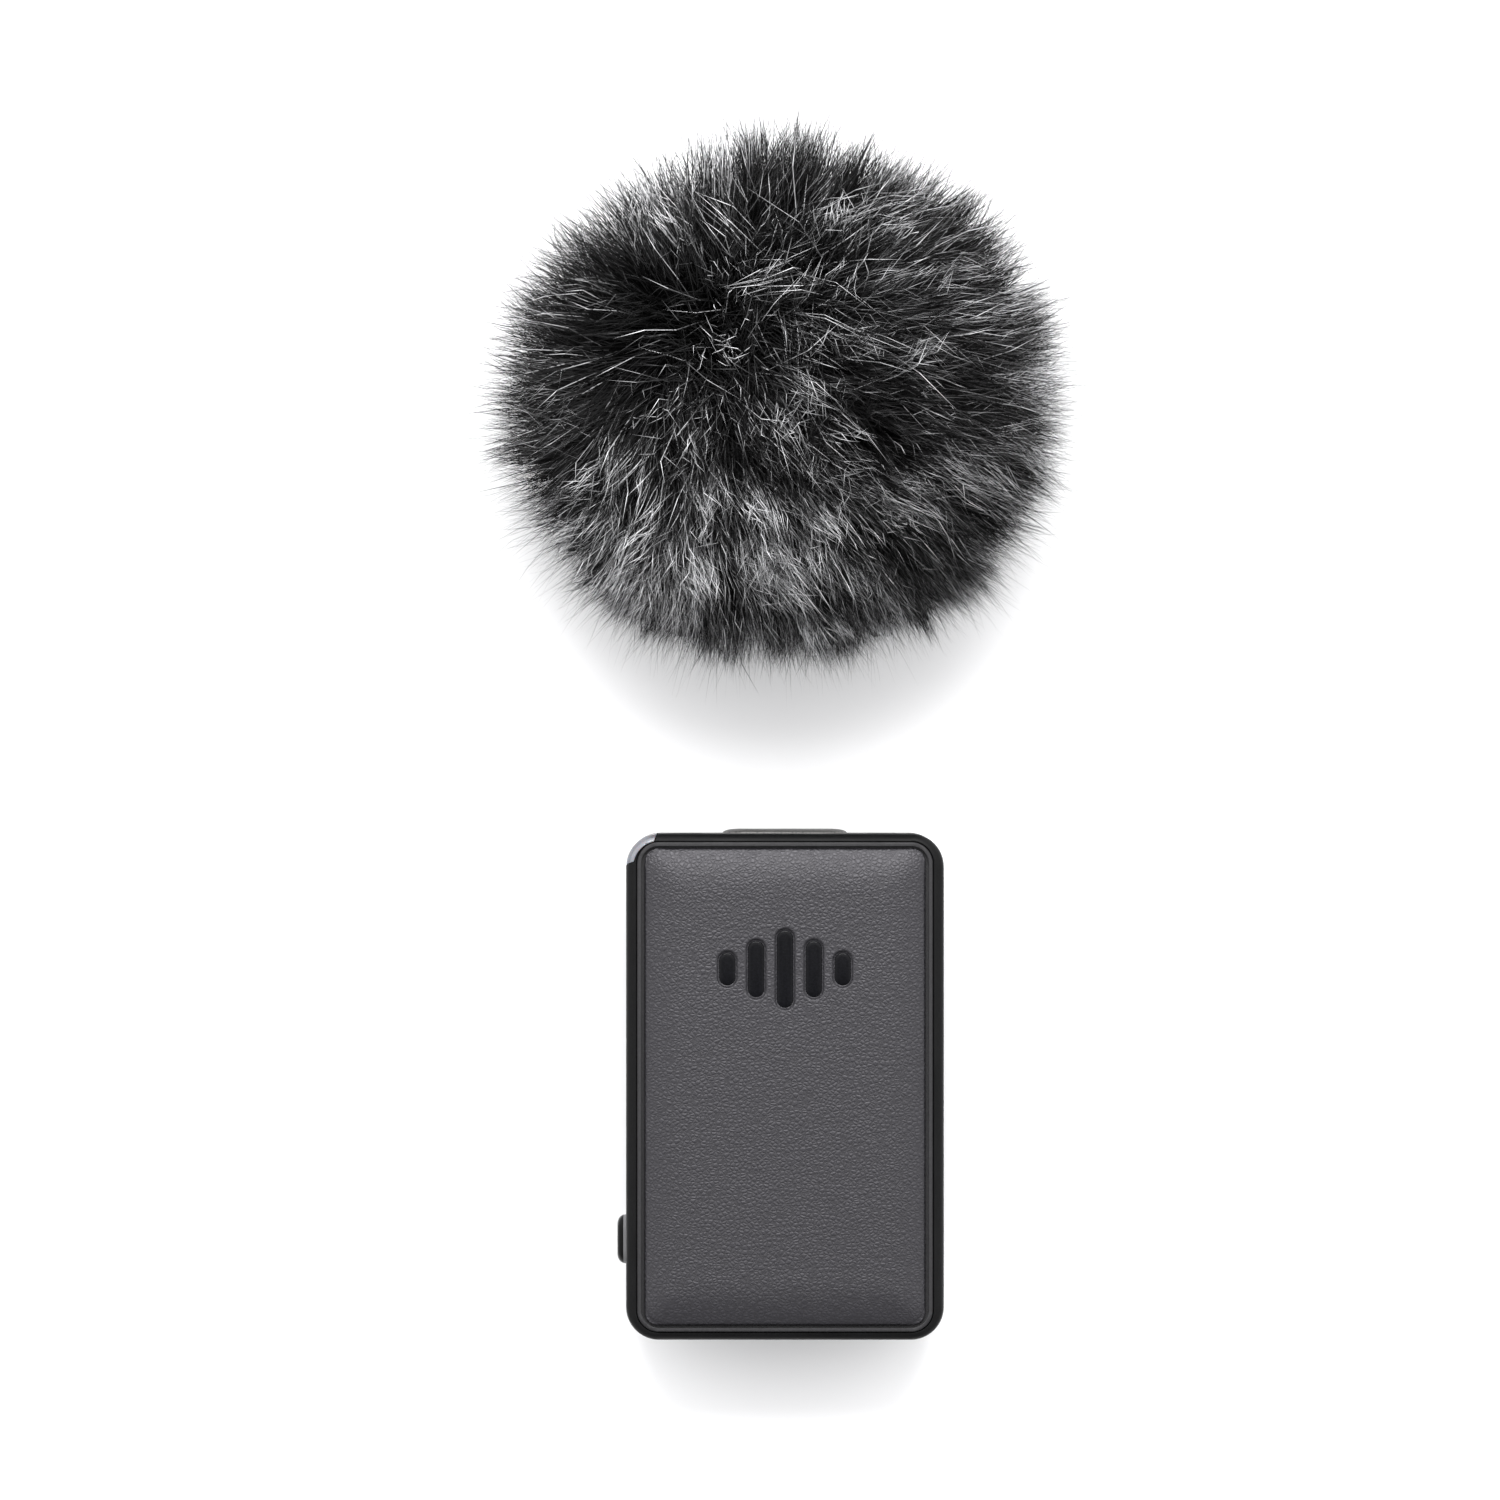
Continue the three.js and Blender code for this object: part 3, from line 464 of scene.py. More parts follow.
def mesh_piece(name, points, faces, materials, indices=None):
    """An object from points in millimetres and an array of faces with equally many corners."""
    mesh = bpy.data.meshes.new(name)
    faces = np.asarray(faces, np.int32)
    count, sides = faces.shape
    mesh.vertices.add(len(points))
    mesh.vertices.foreach_set("co", (np.asarray(points) * MM).astype(np.float32).ravel())
    mesh.loops.add(faces.size)
    mesh.loops.foreach_set("vertex_index", faces.ravel())
    mesh.polygons.add(count)
    mesh.polygons.foreach_set("loop_start", np.arange(0, faces.size, sides, dtype=np.int32))
    mesh.polygons.foreach_set("use_smooth", np.ones(count, bool))
    for material in materials:
        mesh.materials.append(material)
    if indices is not None:
        mesh.polygons.foreach_set("material_index", np.asarray(indices, np.int32))
    mesh.update(calc_edges=True)
    piece = bpy.data.objects.new(name, mesh)
    bpy.context.collection.objects.link(piece)
    return piece


def smoothstep(value, low, high):
    t = np.clip((value - low) / (high - low), 0, 1)
    return t * t * (3 - 2 * t)


def unit(vectors):
    return vectors / np.maximum(np.linalg.norm(vectors, axis=-1, keepdims=True), 1e-9)


def circle(sides):
    """Points evenly round a circle of radius 1."""
    turn = np.linspace(0, 2 * math.pi, sides, endpoint=False)
    return np.stack([np.cos(turn), np.sin(turn)], 1)


def squared(ring, power):
    """A circle of radius 1 drawn out to a rounded square, squarer where power is higher."""
    return ring / (np.abs(ring) ** power).sum(1)[:, None] ** (1 / power)


def grid_faces(rows, columns):
    """Quads between the points of a grid whose rows are columns long."""
    corner = np.arange((rows - 1) * columns).reshape(rows - 1, columns)[:, :-1].ravel()
    return np.stack([corner, corner + 1, corner + columns + 1, corner + columns], 1)


def tube_faces(rings, sides):
    """Quads between the points of closed rings, each with sides points."""
    ring = np.arange(rings - 1) * sides
    seam = np.stack([ring + sides - 1, ring, ring + sides, ring + 2 * sides - 1], 1)
    return np.concatenate([grid_faces(rings, sides), seam])


def close_with(piece, triangles):
    """Adds triangles of vertex numbers to a mesh, and turns every face outwards."""
    bm = bmesh.new()
    bm.from_mesh(piece.data)
    bm.verts.ensure_lookup_table()
    for corners in triangles:
        bm.faces.new([bm.verts[v] for v in corners])
    bmesh.ops.recalc_face_normals(bm, faces=bm.faces)
    bm.to_mesh(piece.data)
    bm.free()


def pebbles(x, y, size, seed):
    """Round pebbles with creases between them, from 0 to 1, by the two nearest scattered points."""
    rng = np.random.default_rng(seed)
    columns, rows = int(np.ptp(x) / size) + 5, int(np.ptp(y) / size) + 5
    scatter = rng.random((columns, rows, 2))
    u, v = (x - x.min()) / size + 2, (y - y.min()) / size + 2
    i, j = u.astype(int), v.astype(int)
    reach = []
    for di in (-1, 0, 1):
        for dj in (-1, 0, 1):
            near = scatter[i + di, j + dj]
            reach.append(np.hypot(i + di + near[:, 0] - u, j + dj + near[:, 1] - v))
    nearest, second = np.sort(np.array(reach), axis=0)[:2]
    return smoothstep(second - nearest, 0.0, CREASE_W)


# ---------------------------------------------------------------- front panel

PAD_CORNER_R = 1.2
PILLOW_W = 4.2  # how far in the pad's crown begins
PILLOW_CORNER = 5  # how square the crown's corners are
PILLOW_BULGE = 2.6  # how steeply it rises at the outline
PAD_RISE = 0.52  # from its outline, level with the lip, to its crown
PAD_EDGE_R, PAD_EDGE_W = 0.07, 0.12  # how far the outline is turned down, and over what width
PAD_POINTS, EMBLEM_POINTS = 0.16, 0.075  # between the grid's points, and between those round the emblem
EMBLEM_X, EMBLEM_LOW_Y, EMBLEM_HIGH_Y = 6.4, 6.2, 13.8  # where the closer points are
GRAIN_H = 0.009
COARSE_GRAIN, FINE_GRAIN = 0.42, 0.2  # the size of the pebbles
CREASE_W = 0.55  # as a share of a pebble
BARS = (2.8, 4.8, 6.6, 4.8, 2.8)
BAR_PITCH, BAR_W, BAR_Y = 2.45, 1.4, 10.0
BAR_SINK = 0.2  # how far the inlay lies under the pad's crown
DEBOSS_W, DEBOSS_UNDER = 0.24, 0.05  # how wide the pressed edge is, and how far the pad goes below the inlay
BAR_SIDES, INLAY_EDGE_ANGLE = 28, math.radians(50)
CARRIER = (12.3, 7.3, 0.18)


def bar_centres():
    """How far across each bar of the emblem is, from left to right."""
    return [(i - (len(BARS) - 1) / 2) * BAR_PITCH for i in range(len(BARS))]


def bar_distance(x, y):
    """How far each point is outside the nearest bar of the emblem, and negative inside one."""
    best = np.full(x.shape, np.inf)
    for centre, height in zip(bar_centres(), BARS, strict=True):
        reach = np.abs(y - BAR_Y) - (height - BAR_W) / 2
        best = np.minimum(best, np.hypot(x - centre, np.maximum(reach, 0)) - BAR_W / 2)
    return best


def lines_between(low, high, fine_low, fine_high, coarse, fine):
    """Grid lines from low to high, closer together between fine_low and fine_high."""
    spans = ((low, fine_low, coarse), (fine_low, fine_high, fine), (fine_high, high, coarse))
    parts = [np.linspace(a, b, max(2, round((b - a) / step) + 1))[:-1] for a, b, step in spans]
    return np.concatenate([*parts, [high]])


def pad_heights(x, y, half, crown_z):
    """How high the pad is: pillowed, grained all over, and pressed in round the bars of the emblem."""
    in_x, in_y = (np.maximum(np.abs(a) - h + PILLOW_W, 0) for a, h in ((x, half[0]), (y, half[1])))
    outward = (in_x**PILLOW_CORNER + in_y**PILLOW_CORNER) ** (1 / PILLOW_CORNER)
    edge = np.clip(1 - outward / PILLOW_W, 0, 1)  # 0 at the outline, 1 on the crown
    edge_z, top_z = crown_z - PAD_RISE, crown_z - GRAIN_H
    z = edge_z + (top_z - edge_z) * (1 - (1 - edge) ** PILLOW_BULGE)
    z -= PAD_EDGE_R * (1 - smoothstep(edge * PILLOW_W, 0, PAD_EDGE_W))
    press = 1 - smoothstep(bar_distance(x, y), 0.02, DEBOSS_W)
    grain = 0.75 * pebbles(x, y, COARSE_GRAIN, seed=11) + 0.25 * pebbles(x, y, FINE_GRAIN, seed=12)
    z += GRAIN_H * (grain - 0.5) * smoothstep(edge, 0.02, 0.12) * (1 - press)
    return z - (BAR_SINK + DEBOSS_UNDER) * press


def leatherette_pad(materials):
    """The pad as a closed form: its top, a wall round it and a flat underside."""
    low, high = node_box("leatherette_pad")
    half = (high[:2] - low[:2]) / 2
    radius = PAD_CORNER_R
    across = lines_between(-half[0], half[0], -EMBLEM_X, EMBLEM_X, PAD_POINTS, EMBLEM_POINTS)
    along = lines_between(-half[1], half[1], EMBLEM_LOW_Y, EMBLEM_HIGH_Y, PAD_POINTS, EMBLEM_POINTS)
    x, y = (a.ravel() for a in np.meshgrid(across, along))
    p = np.clip((np.abs(x) - half[0] + radius) / radius, 0, 1)
    q = np.clip((np.abs(y) - half[1] + radius) / radius, 0, 1)
    x = x - np.sign(x) * radius * p * (1 - np.sqrt(1 - q * q / 2))
    y = y - np.sign(y) * radius * q * (1 - np.sqrt(1 - p * p / 2))
    top = np.stack([x, y, pad_heights(x, y, half, high[2])], 1)
    rows, columns = len(along), len(across)
    index = np.arange(rows * columns).reshape(rows, columns)
    rim = np.concatenate([index[0], index[1:, -1], index[-1, :-1][::-1], index[1:-1, 0][::-1]])
    floor = top[rim] * (1, 1, 0) + (0, 0, low[2])
    centre = np.array([[0, 0, low[2]]])
    first = len(top)
    step = np.arange(len(rim))
    following = (step + 1) % len(rim)
    wall = np.stack([rim[step], first + step, first + following, rim[following]], 1)
    under = np.stack([np.full(len(rim), first + len(rim)), first + following, first + step], 1)
    points = np.concatenate([top, floor, centre])
    faces = np.concatenate([grid_faces(rows, columns), wall])
    piece = mesh_piece("leatherette_face", points, faces, materials)
    close_with(piece, under)
    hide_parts("leatherette_pad")
    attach(piece, "transmitter")


def stadium(width, height, sides):
    """The outline of an upright bar with round ends, as points in X and Y."""
    turn = np.linspace(0, math.pi, sides // 2)
    cap = np.stack([np.cos(turn), np.sin(turn)], 1) * width / 2
    lift = np.array([0, (height - width) / 2])
    return np.concatenate([cap + lift, -cap - lift])


def emblem_inlay(materials):
    """Five polished bars with softened edges, standing on one carrier behind the pad."""
    low, _ = node_box("emblem")
    top = node_box("leatherette_pad")[1][2] - BAR_SINK
    bm = bmesh.new()
    # the height of each ring of a bar, and how far in it is
    levels = ((low[2] + 0.1, 0.0), (top - 0.07, 0.0), (top - 0.02, 0.03), (top, 0.10), (top + 0.02, 0.35))
    for centre, height in zip(bar_centres(), BARS, strict=True):
        rings = []
        for z, inset in levels:
            outline = stadium(BAR_W - 2 * inset, height - 2 * inset, BAR_SIDES) + (centre, BAR_Y)
            rings.append([bm.verts.new((px * MM, py * MM, z * MM)) for px, py in outline])
        for below, above in zip(rings, rings[1:], strict=False):
            for k in range(len(below)):
                n = (k + 1) % len(below)
                bm.faces.new((below[k], below[n], above[n], above[k]))
        bm.faces.new(rings[-1])
        bm.faces.new(rings[0][::-1])
    carrier = bmesh.ops.create_cube(bm, size=1)["verts"]
    for vert in carrier:
        vert.co = Vector(a * b * MM for a, b in zip(vert.co, CARRIER, strict=True))
        vert.co += Vector((0, BAR_Y * MM, (low[2] + CARRIER[2] / 2) * MM))
    mesh = bpy.data.meshes.new("emblem_inlay")
    bm.to_mesh(mesh)
    bm.free()
    mesh.shade_smooth()
    mesh.set_sharp_from_angle(angle=INLAY_EDGE_ANGLE)
    for material in materials:
        mesh.materials.append(material)
    piece = bpy.data.objects.new("emblem_inlay", mesh)
    bpy.context.collection.objects.link(piece)
    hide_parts("emblem")
    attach(piece, "transmitter")


# ---------------------------------------------------------------- small inner soft pieces


def acoustic_weave(materials):
    """The woven screen behind the grille, with its threads as real relief."""
    low, high = node_box("acoustic_mesh")
    pitch, relief, step = 0.3, 0.03, 0.06
    half = (high - low)[[0, 2]] / 2
    middle = (high + low) / 2
    across = np.linspace(-1, 1, int(2 * half[0] / step) + 1)
    up = np.linspace(-1, 1, int(2 * half[1] / step) + 1)
    u, v = (a.ravel() for a in np.meshgrid(across, up))
    x = u * (half[0] - half[1]) + u * np.sqrt(1 - v * v / 2) * half[1]
    z = v * np.sqrt(1 - (np.abs(u) ** 6) / 2) * half[1]
    turn = 2 * math.pi / pitch
    y = relief * np.sin(x * turn) * np.sin(z * turn)
    points = np.stack([x + middle[0], y + middle[1], z + middle[2]], 1)
    piece = mesh_piece("acoustic_screen", points, grid_faces(len(up), len(across)), materials)
    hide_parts("acoustic_mesh")
    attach(piece, "transmitter")


def foam_form(name, points, faces, relief, materials, seed):
    """A closed foam piece, its surface pitted by pushing points in along their normals."""
    piece = mesh_piece(name, points, faces, materials)
    bm = bmesh.new()
    bm.from_mesh(piece.data)
    bmesh.ops.remove_doubles(bm, verts=bm.verts, dist=1e-7)
    bmesh.ops.recalc_face_normals(bm, faces=bm.faces)
    bm.normal_update()
    rng = np.random.default_rng(seed)
    for vert, pit in zip(bm.verts, rng.random(len(bm.verts)), strict=True):
        vert.co -= vert.normal * (relief * MM * pit**3)
    bm.to_mesh(piece.data)
    bm.free()
    return piece


def battery_cushion(materials):
    """The thin foam pad between the battery and the cover, with crowned faces."""
    low, high = node_box("battery_pad")
    half, middle = (high - low) / 2, (high + low) / 2
    sides, rings = 120, 26
    square = squared(circle(sides), 8)
    points = []
    for k in np.linspace(-1, 1, rings):
        share = math.cos(k * math.pi / 2) ** 0.25 if abs(k) < 1 else 0.0
        height = half[2] * math.copysign(min(1.0, abs(k) * 1.6), k)
        points.append(np.column_stack([square * half[:2] * share, np.full(sides, height)]))
    points = np.concatenate(points) + middle
    piece = foam_form("battery_cushion", points, tube_faces(rings, sides), 0.04, materials, seed=21)
    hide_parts("battery_pad")
    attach(piece, "transmitter")


# ---------------------------------------------------------------- clip spring

WIRE_R, COIL_R, COIL_TURNS, COIL_PITCH, LEG = 0.22, 1.0, 4.5, 0.68, 3.8


def spring_path(axis_y, axis_z, steps):
    """The middle of the wire: a straight leg, the coils round the pin, and the other leg."""
    coil = COIL_TURNS * math.hypot(2 * math.pi * COIL_R, COIL_PITCH)
    along = np.linspace(-LEG, coil + LEG, steps)
    angle = np.clip(along / coil, 0, 1) * COIL_TURNS * 2 * math.pi
    straight = np.maximum(np.maximum(-along, along - coil), 0)
    x = (COIL_TURNS / 2 - angle / (2 * math.pi)) * COIL_PITCH
    return np.stack([x, axis_y - COIL_R * np.sin(angle) + straight, axis_z + COIL_R * np.cos(angle)], 1)


def torsion_spring(materials):
    """The clip's spring: coils round the pin, one leg on the cover and one on the arm."""
    low, high = node_box("clip_pin")
    _, axis_y, axis_z = (low + high) / 2
    steps, sides = 200, 12
    path = spring_path(axis_y, axis_z, steps)
    tangent = unit(np.gradient(path, axis=0))
    side = unit(np.cross(tangent, [1.0, 0, 0]))
    other = np.cross(tangent, side)
    a, b = circle(sides).T[:, :, None]
    ring = path[:, None] + WIRE_R * (a * side[:, None] + b * other[:, None])
    points = np.concatenate([ring.reshape(-1, 3), path[:1], path[-1:]])
    corner = np.arange(sides)
    nearest, last = steps * sides, (steps - 1) * sides
    beside = (corner + 1) % sides
    near_end = np.stack([np.full(sides, nearest), beside, corner], 1)
    far_end = np.stack([np.full(sides, nearest + 1), last + corner, last + beside], 1)
    piece = mesh_piece("torsion_spring", points, tube_faces(steps, sides), materials)
    close_with(piece, [*near_end, *far_end])
    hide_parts("clip_spring")
    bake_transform(piece)


# ---------------------------------------------------------------- windscreen

FUR_SEED = 2026
CORE_R, SKIN_GAP, ROOT_GAP = 12.5, 0.7, 0.1
PILE_CENTRE = np.array([-0.7, 59.1, 16.0])
PILE_RADII = np.array([25.2, 23.2, 20.6])
STRANDS = 62000
FRINGE_SHARE, FRINGE_LENGTH = 5, 1.04  # one more strand over the neck for every 5, a little longer
FRINGE_LOW, FRINGE_HIGH = (-0.85, -0.95, 0.05), (0.9, -0.45, 0.6)  # the directions in which they grow
STRANDS_PER_PIECE = 8500
LOCKS = 1200
LOCK_JITTER, STRAND_JITTER = 2.0, 3.0  # how far off an even spread the roots are
STRAND_STEPS = np.array([0.0, 0.3, 0.56, 0.8, 1.0])
STRAND_KINK = np.array([0.0, 0.08, 0.2, 0.24, 0.3])
STRAND_R = np.array([0.050, 0.051, 0.048, 0.036, 0.0])
STRAND_W = (0.7, 1.15)
LEAN = np.array([0.58, -0.60, 0.0])  # the pile is combed down and to the right
LEAN_FROM, LEAN_ALL = -0.15, 0.75  # from how far up the ball, and where in full
# how it is ruffled: how many waves, from how slow to how quick, and how much
SLOW_WAVES, SLOW_SHARE = (10, 2.5, 5.5), 0.15
QUICK_WAVES, QUICK_SHARE = (12, 9.0, 16.0), 0.13
CROWN_FROM, CROWN_ALL = 0.74, 0.98  # how upright a heading is where the pile parts
# how far locks and strands stray in heading and in bend, how much more on the crown, and how they sag
LOCK_SPREAD, LOCK_SPREAD_CROWN = 0.19, 0.17
LOCK_BEND, LOCK_BEND_CROWN, LOCK_SAG = 0.10, 0.08, np.array([0, 0, -0.07])
SPREAD, SPREAD_CROWN = 0.12, 0.26
BEND, BEND_CROWN, SAG = 0.11, 0.13, np.array([0, 0, -0.06])
STRAYS, STRAYS_CROWN, STRAY_SPREAD, STRAY_BEND = 0.10, 0.3, 0.22, 1.3
# lengths, as shares of the way to the outside of the pile
LOCK_LENGTH, COAT_LENGTH = (0.86, 1.06), (0.78, 1.03)
UNDERCOAT, UNDERCOAT_LENGTH, UNDERCOAT_TOP = 0.3, (0.45, 0.8), 0.8
WISPS, WISPS_OFF_CROWN, WISP_PAST, WISP_CURVE, WISP_W = 0.22, 0.16, 0.26, 1.6, 0.36
LONGEST = 1.19
# how firmly a strand is held in its lock, and how much of the space between the roots stays between strands
LOOSE_HOLD, LOCK_HOLD, FIRM, LOCK_W = (0.0, 0.35), (0.5, 1.0), 0.68, 0.3
HOLD_CURVE = 1.4  # the hold grows from root to tip
LOCK_STRETCH = 1.15  # the most that a lock is drawn out for a longer strand
# where the pile lies: on the floor, and over the neck, clear of the case that slides in under it
FLOOR_SOFTNESS, FLOOR_GAP, FLOOR_PILE = 0.8, 0.12, 0.25
NECK_X, NECK_Y, NECK_LOW, NECK_HIGH = 14.2, 40.7, 4.2, 16.7
NECK_RAMP = 4.5  # how far above the neck the strands start to rise over it
NECK_MARGIN = 0.5  # and how far outside it they already are
OVER_NECK_Z, NECK_GAP, NECK_PILE = 13.5, 0.25, 1.6
UNDER_CASE_Y = 37.0  # how far the lowest strands may come under the case
HEM_GAP, HEM_HALF_H, HEM_PAST = 0.3, 4.6, 0.6  # no strand grows from the fabric inside this
FUR_TONES = {  # colour, and how much it shines
    "fur_black": (0.0052, 0.03),
    "fur_dark": (0.016, 0.06),
    "fur_grey": (0.10, 0.15),
    "fur_light": (0.42, 0.3),
    "fur_pale": (0.82, 0.35),
}
# the tone of each quarter of a strand from root to tip, in each family of strands
FUR_FAMILIES = np.array([[0, 0, 0, 0], [0, 0, 1, 1], [0, 0, 1, 2], [0, 1, 2, 3], [0, 2, 3, 4]])
FAMILY_STEPS = (-0.45, 0.25, 0.85, 1.5)
TONE_SPREAD, STRAND_TONE_SPREAD, TONE_WAVES, TONE_DRIFT = 0.95, 0.55, (8, 4.0, 9.0), 0.6
# where whole locks are paler or darker: X, Y, how far round, and by how much. Partly painted light: the
# paler patches at the bottom and top of the ball stand for light caught along strands that lie flat there
TONE_AND_LIGHT_PATCHES = (
    (-3.2, 45.0, 3.4, 1.3),
    (-12.0, 44.5, 4.0, 1.2),
    (0.0, 41.0, 14.0, 0.5),
    (8.0, 71.0, 7.0, 0.5),
    (17.0, 62.0, 5.0, 0.5),
    (-10.0, 77.0, 7.0, 0.5),
    (9.0, 49.0, 5.0, -0.6),
    (1.0, 73.5, 4.0, -0.3),
    (-18.0, 60.0, 4.0, -0.3),
    (-17.0, 52.0, 7.0, 0.6),
)


def core_centre():
    low, high = node_box("windscreen_foam")
    return np.array([(low[0] + high[0]) / 2, high[1] - CORE_R, (low[2] + high[2]) / 2])


def drift(points, rng, waves, low, high):
    """Smooth random vectors over the ball, as a sum of slow waves."""
    total = np.zeros_like(points)
    for _ in range(waves):
        heading = unit(rng.normal(size=3)) * rng.uniform(low, high)
        phase = points @ heading + rng.uniform(0, 2 * math.pi)
        total += np.sin(phase)[:, None] * rng.normal(size=3)
    return total / math.sqrt(waves)


def pile_reach(roots, headings):
    """How far it is from each root along its heading to the outside of the pile."""
    start, way = (roots - PILE_CENTRE) / PILE_RADII, headings / PILE_RADII
    a = (way * way).sum(1)
    b = (start * way).sum(1)
    c = (start * start).sum(1) - 1
    return (-b + np.sqrt(np.maximum(b * b - a * c, 1e-6))) / a


def scattered(count, rng, jitter):
    """Directions spread evenly over the ball, each moved a little."""
    k = np.arange(count) + 0.5
    level, turn = 1 - 2 * k / count, k * math.pi * (1 + math.sqrt(5))
    ring = np.sqrt(1 - level * level)
    spread = np.stack([ring * np.cos(turn), ring * np.sin(turn), level], 1)
    return unit(spread + rng.normal(size=(count, 3)) * jitter / math.sqrt(count))


def fringe_normals(count, rng):
    """More roots over the neck, whose strands hide the prongs from above."""
    return unit(rng.uniform(FRINGE_LOW, FRINGE_HIGH, (count, 3)))


def combed(normals, rng_noise):
    """Which way the pile leaves the backing at each normal."""
    top = smoothstep(normals[:, 2], LEAN_FROM, LEAN_ALL)[:, None]
    slow = drift(normals, rng_noise, *SLOW_WAVES)
    quick = drift(normals, rng_noise, *QUICK_WAVES)
    return unit(normals + LEAN * top + SLOW_SHARE * slow + QUICK_SHARE * quick)


def strand_paths(roots, headings, lengths, bends):
    """The points of each strand, from root to tip."""
    t = STRAND_STEPS[None, :, None]
    return roots[:, None] + lengths[:, None, None] * (t * headings[:, None] + t * t * bends[:, None])


def on_crown(headings):
    """How upright each heading is, from 0 to 1, as a column."""
    return smoothstep(headings[:, 2:], CROWN_FROM, CROWN_ALL)


def lay_locks(rng):
    """Each lock's normal, root, length, path and shade."""
    normals = scattered(LOCKS, rng, LOCK_JITTER)
    way = combed(normals, np.random.default_rng(FUR_SEED + 1))
    crown = on_crown(way)
    way = unit(way + rng.normal(size=way.shape) * (LOCK_SPREAD + LOCK_SPREAD_CROWN * crown))
    roots = core_centre() + normals * (CORE_R + SKIN_GAP + ROOT_GAP)
    lengths = pile_reach(roots, way) * rng.uniform(*LOCK_LENGTH, LOCKS)
    bends = rng.normal(size=(LOCKS, 3)) * (LOCK_BEND + LOCK_BEND_CROWN * crown) + LOCK_SAG
    paths = strand_paths(roots, way, lengths, bends)
    shades = rng.normal(size=LOCKS) * TONE_SPREAD + drift(normals, rng, *TONE_WAVES)[:, 0] * TONE_DRIFT
    # partly painted light: some patches lighten the locks where the flat-lying strands catch the light
    for x, y, reach, change in TONE_AND_LIGHT_PATCHES:
        apart = np.hypot(paths[:, -1, 0] - x, paths[:, -1, 1] - y)
        shades += change * np.exp(-((apart / reach) ** 2))
    return normals, roots, lengths, paths, shades


def nearest_locks(normals, lock_normals):
    """The number of the lock that each strand grows in, a few thousand strands at a time."""
    nearest = np.empty(len(normals), int)
    for first in range(0, len(normals), 4000):
        part = normals[first : first + 4000]
        nearest[first : first + 4000] = np.argmax(part @ lock_normals.T, axis=1)
    return nearest


def grow_fur():
    """Every strand's points, thickness and family, with strands gathered into loose locks."""
    rng = np.random.default_rng(FUR_SEED)
    lock_normals, lock_roots, lock_lengths, lock_paths, lock_shades = lay_locks(rng)
    normals = scattered(STRANDS, rng, STRAND_JITTER)
    normals = np.concatenate([normals, fringe_normals(STRANDS // FRINGE_SHARE, rng)])
    count = len(normals)
    nearest = nearest_locks(normals, lock_normals)
    way = combed(normals, np.random.default_rng(FUR_SEED + 1))
    crown = on_crown(way)
    way = unit(way + rng.normal(size=way.shape) * (SPREAD + SPREAD_CROWN * crown))
    stray = rng.random(count) < STRAYS + STRAYS_CROWN * crown[:, 0]
    way[stray] = unit(way[stray] + rng.normal(size=(stray.sum(), 3)) * STRAY_SPREAD)
    roots = core_centre() + normals * (CORE_R + SKIN_GAP + ROOT_GAP)
    short = rng.random(count) < UNDERCOAT
    share = np.where(short, rng.uniform(*UNDERCOAT_LENGTH, count), rng.uniform(*COAT_LENGTH, count))
    share[STRANDS:] *= FRINGE_LENGTH
    wisp = rng.random(count) < WISPS - WISPS_OFF_CROWN * crown[:, 0]
    share = np.where(wisp, 1.0 + WISP_PAST * rng.random(count) ** WISP_CURVE, share)
    lengths = pile_reach(roots, way) * share
    bends = rng.normal(size=(count, 3)) * (BEND + BEND_CROWN * crown) + SAG
    bends[stray] *= STRAY_BEND
    paths = strand_paths(roots, way, lengths, bends)

    loose = stray | wisp
    hold = np.where(loose, rng.uniform(*LOOSE_HOLD, count), rng.uniform(*LOCK_HOLD, count))
    target = lock_paths[nearest] + LOCK_W * (roots - lock_roots[nearest])[:, None]
    from_root = lock_roots[nearest][:, None]
    length_share = np.minimum(lengths / lock_lengths[nearest], LOCK_STRETCH)[:, None, None]
    target = from_root + (target - from_root) * length_share
    pull = hold[:, None] * STRAND_STEPS[None, :] ** HOLD_CURVE
    paths += (target - paths) * pull[:, :, None]
    paths += rng.normal(size=paths.shape) * STRAND_KINK[:, None]

    shade = lock_shades[nearest] + rng.normal(size=count) * STRAND_TONE_SPREAD
    family = np.digitize(shade, FAMILY_STEPS)
    # painted shade: the undercoat and the loosely held strands between the locks are kept dark for the shade
    # deep in the pile
    between = (share < UNDERCOAT_TOP) | (~loose & (hold < FIRM))  # dark, so that the locks stand apart
    family = np.where(between, np.minimum(family, 1), family)
    family = np.where(wisp, np.clip(family, 2, 3), family)
    width = rng.uniform(*STRAND_W, count) * np.where(wisp, WISP_W, 1.0)
    over = np.linalg.norm((paths[:, -1] - PILE_CENTRE) / PILE_RADII, axis=1) / LONGEST
    paths = roots[:, None] + (paths - roots[:, None]) / np.maximum(over, 1)[:, None, None]
    return settled(roots, paths, width, family, rng)


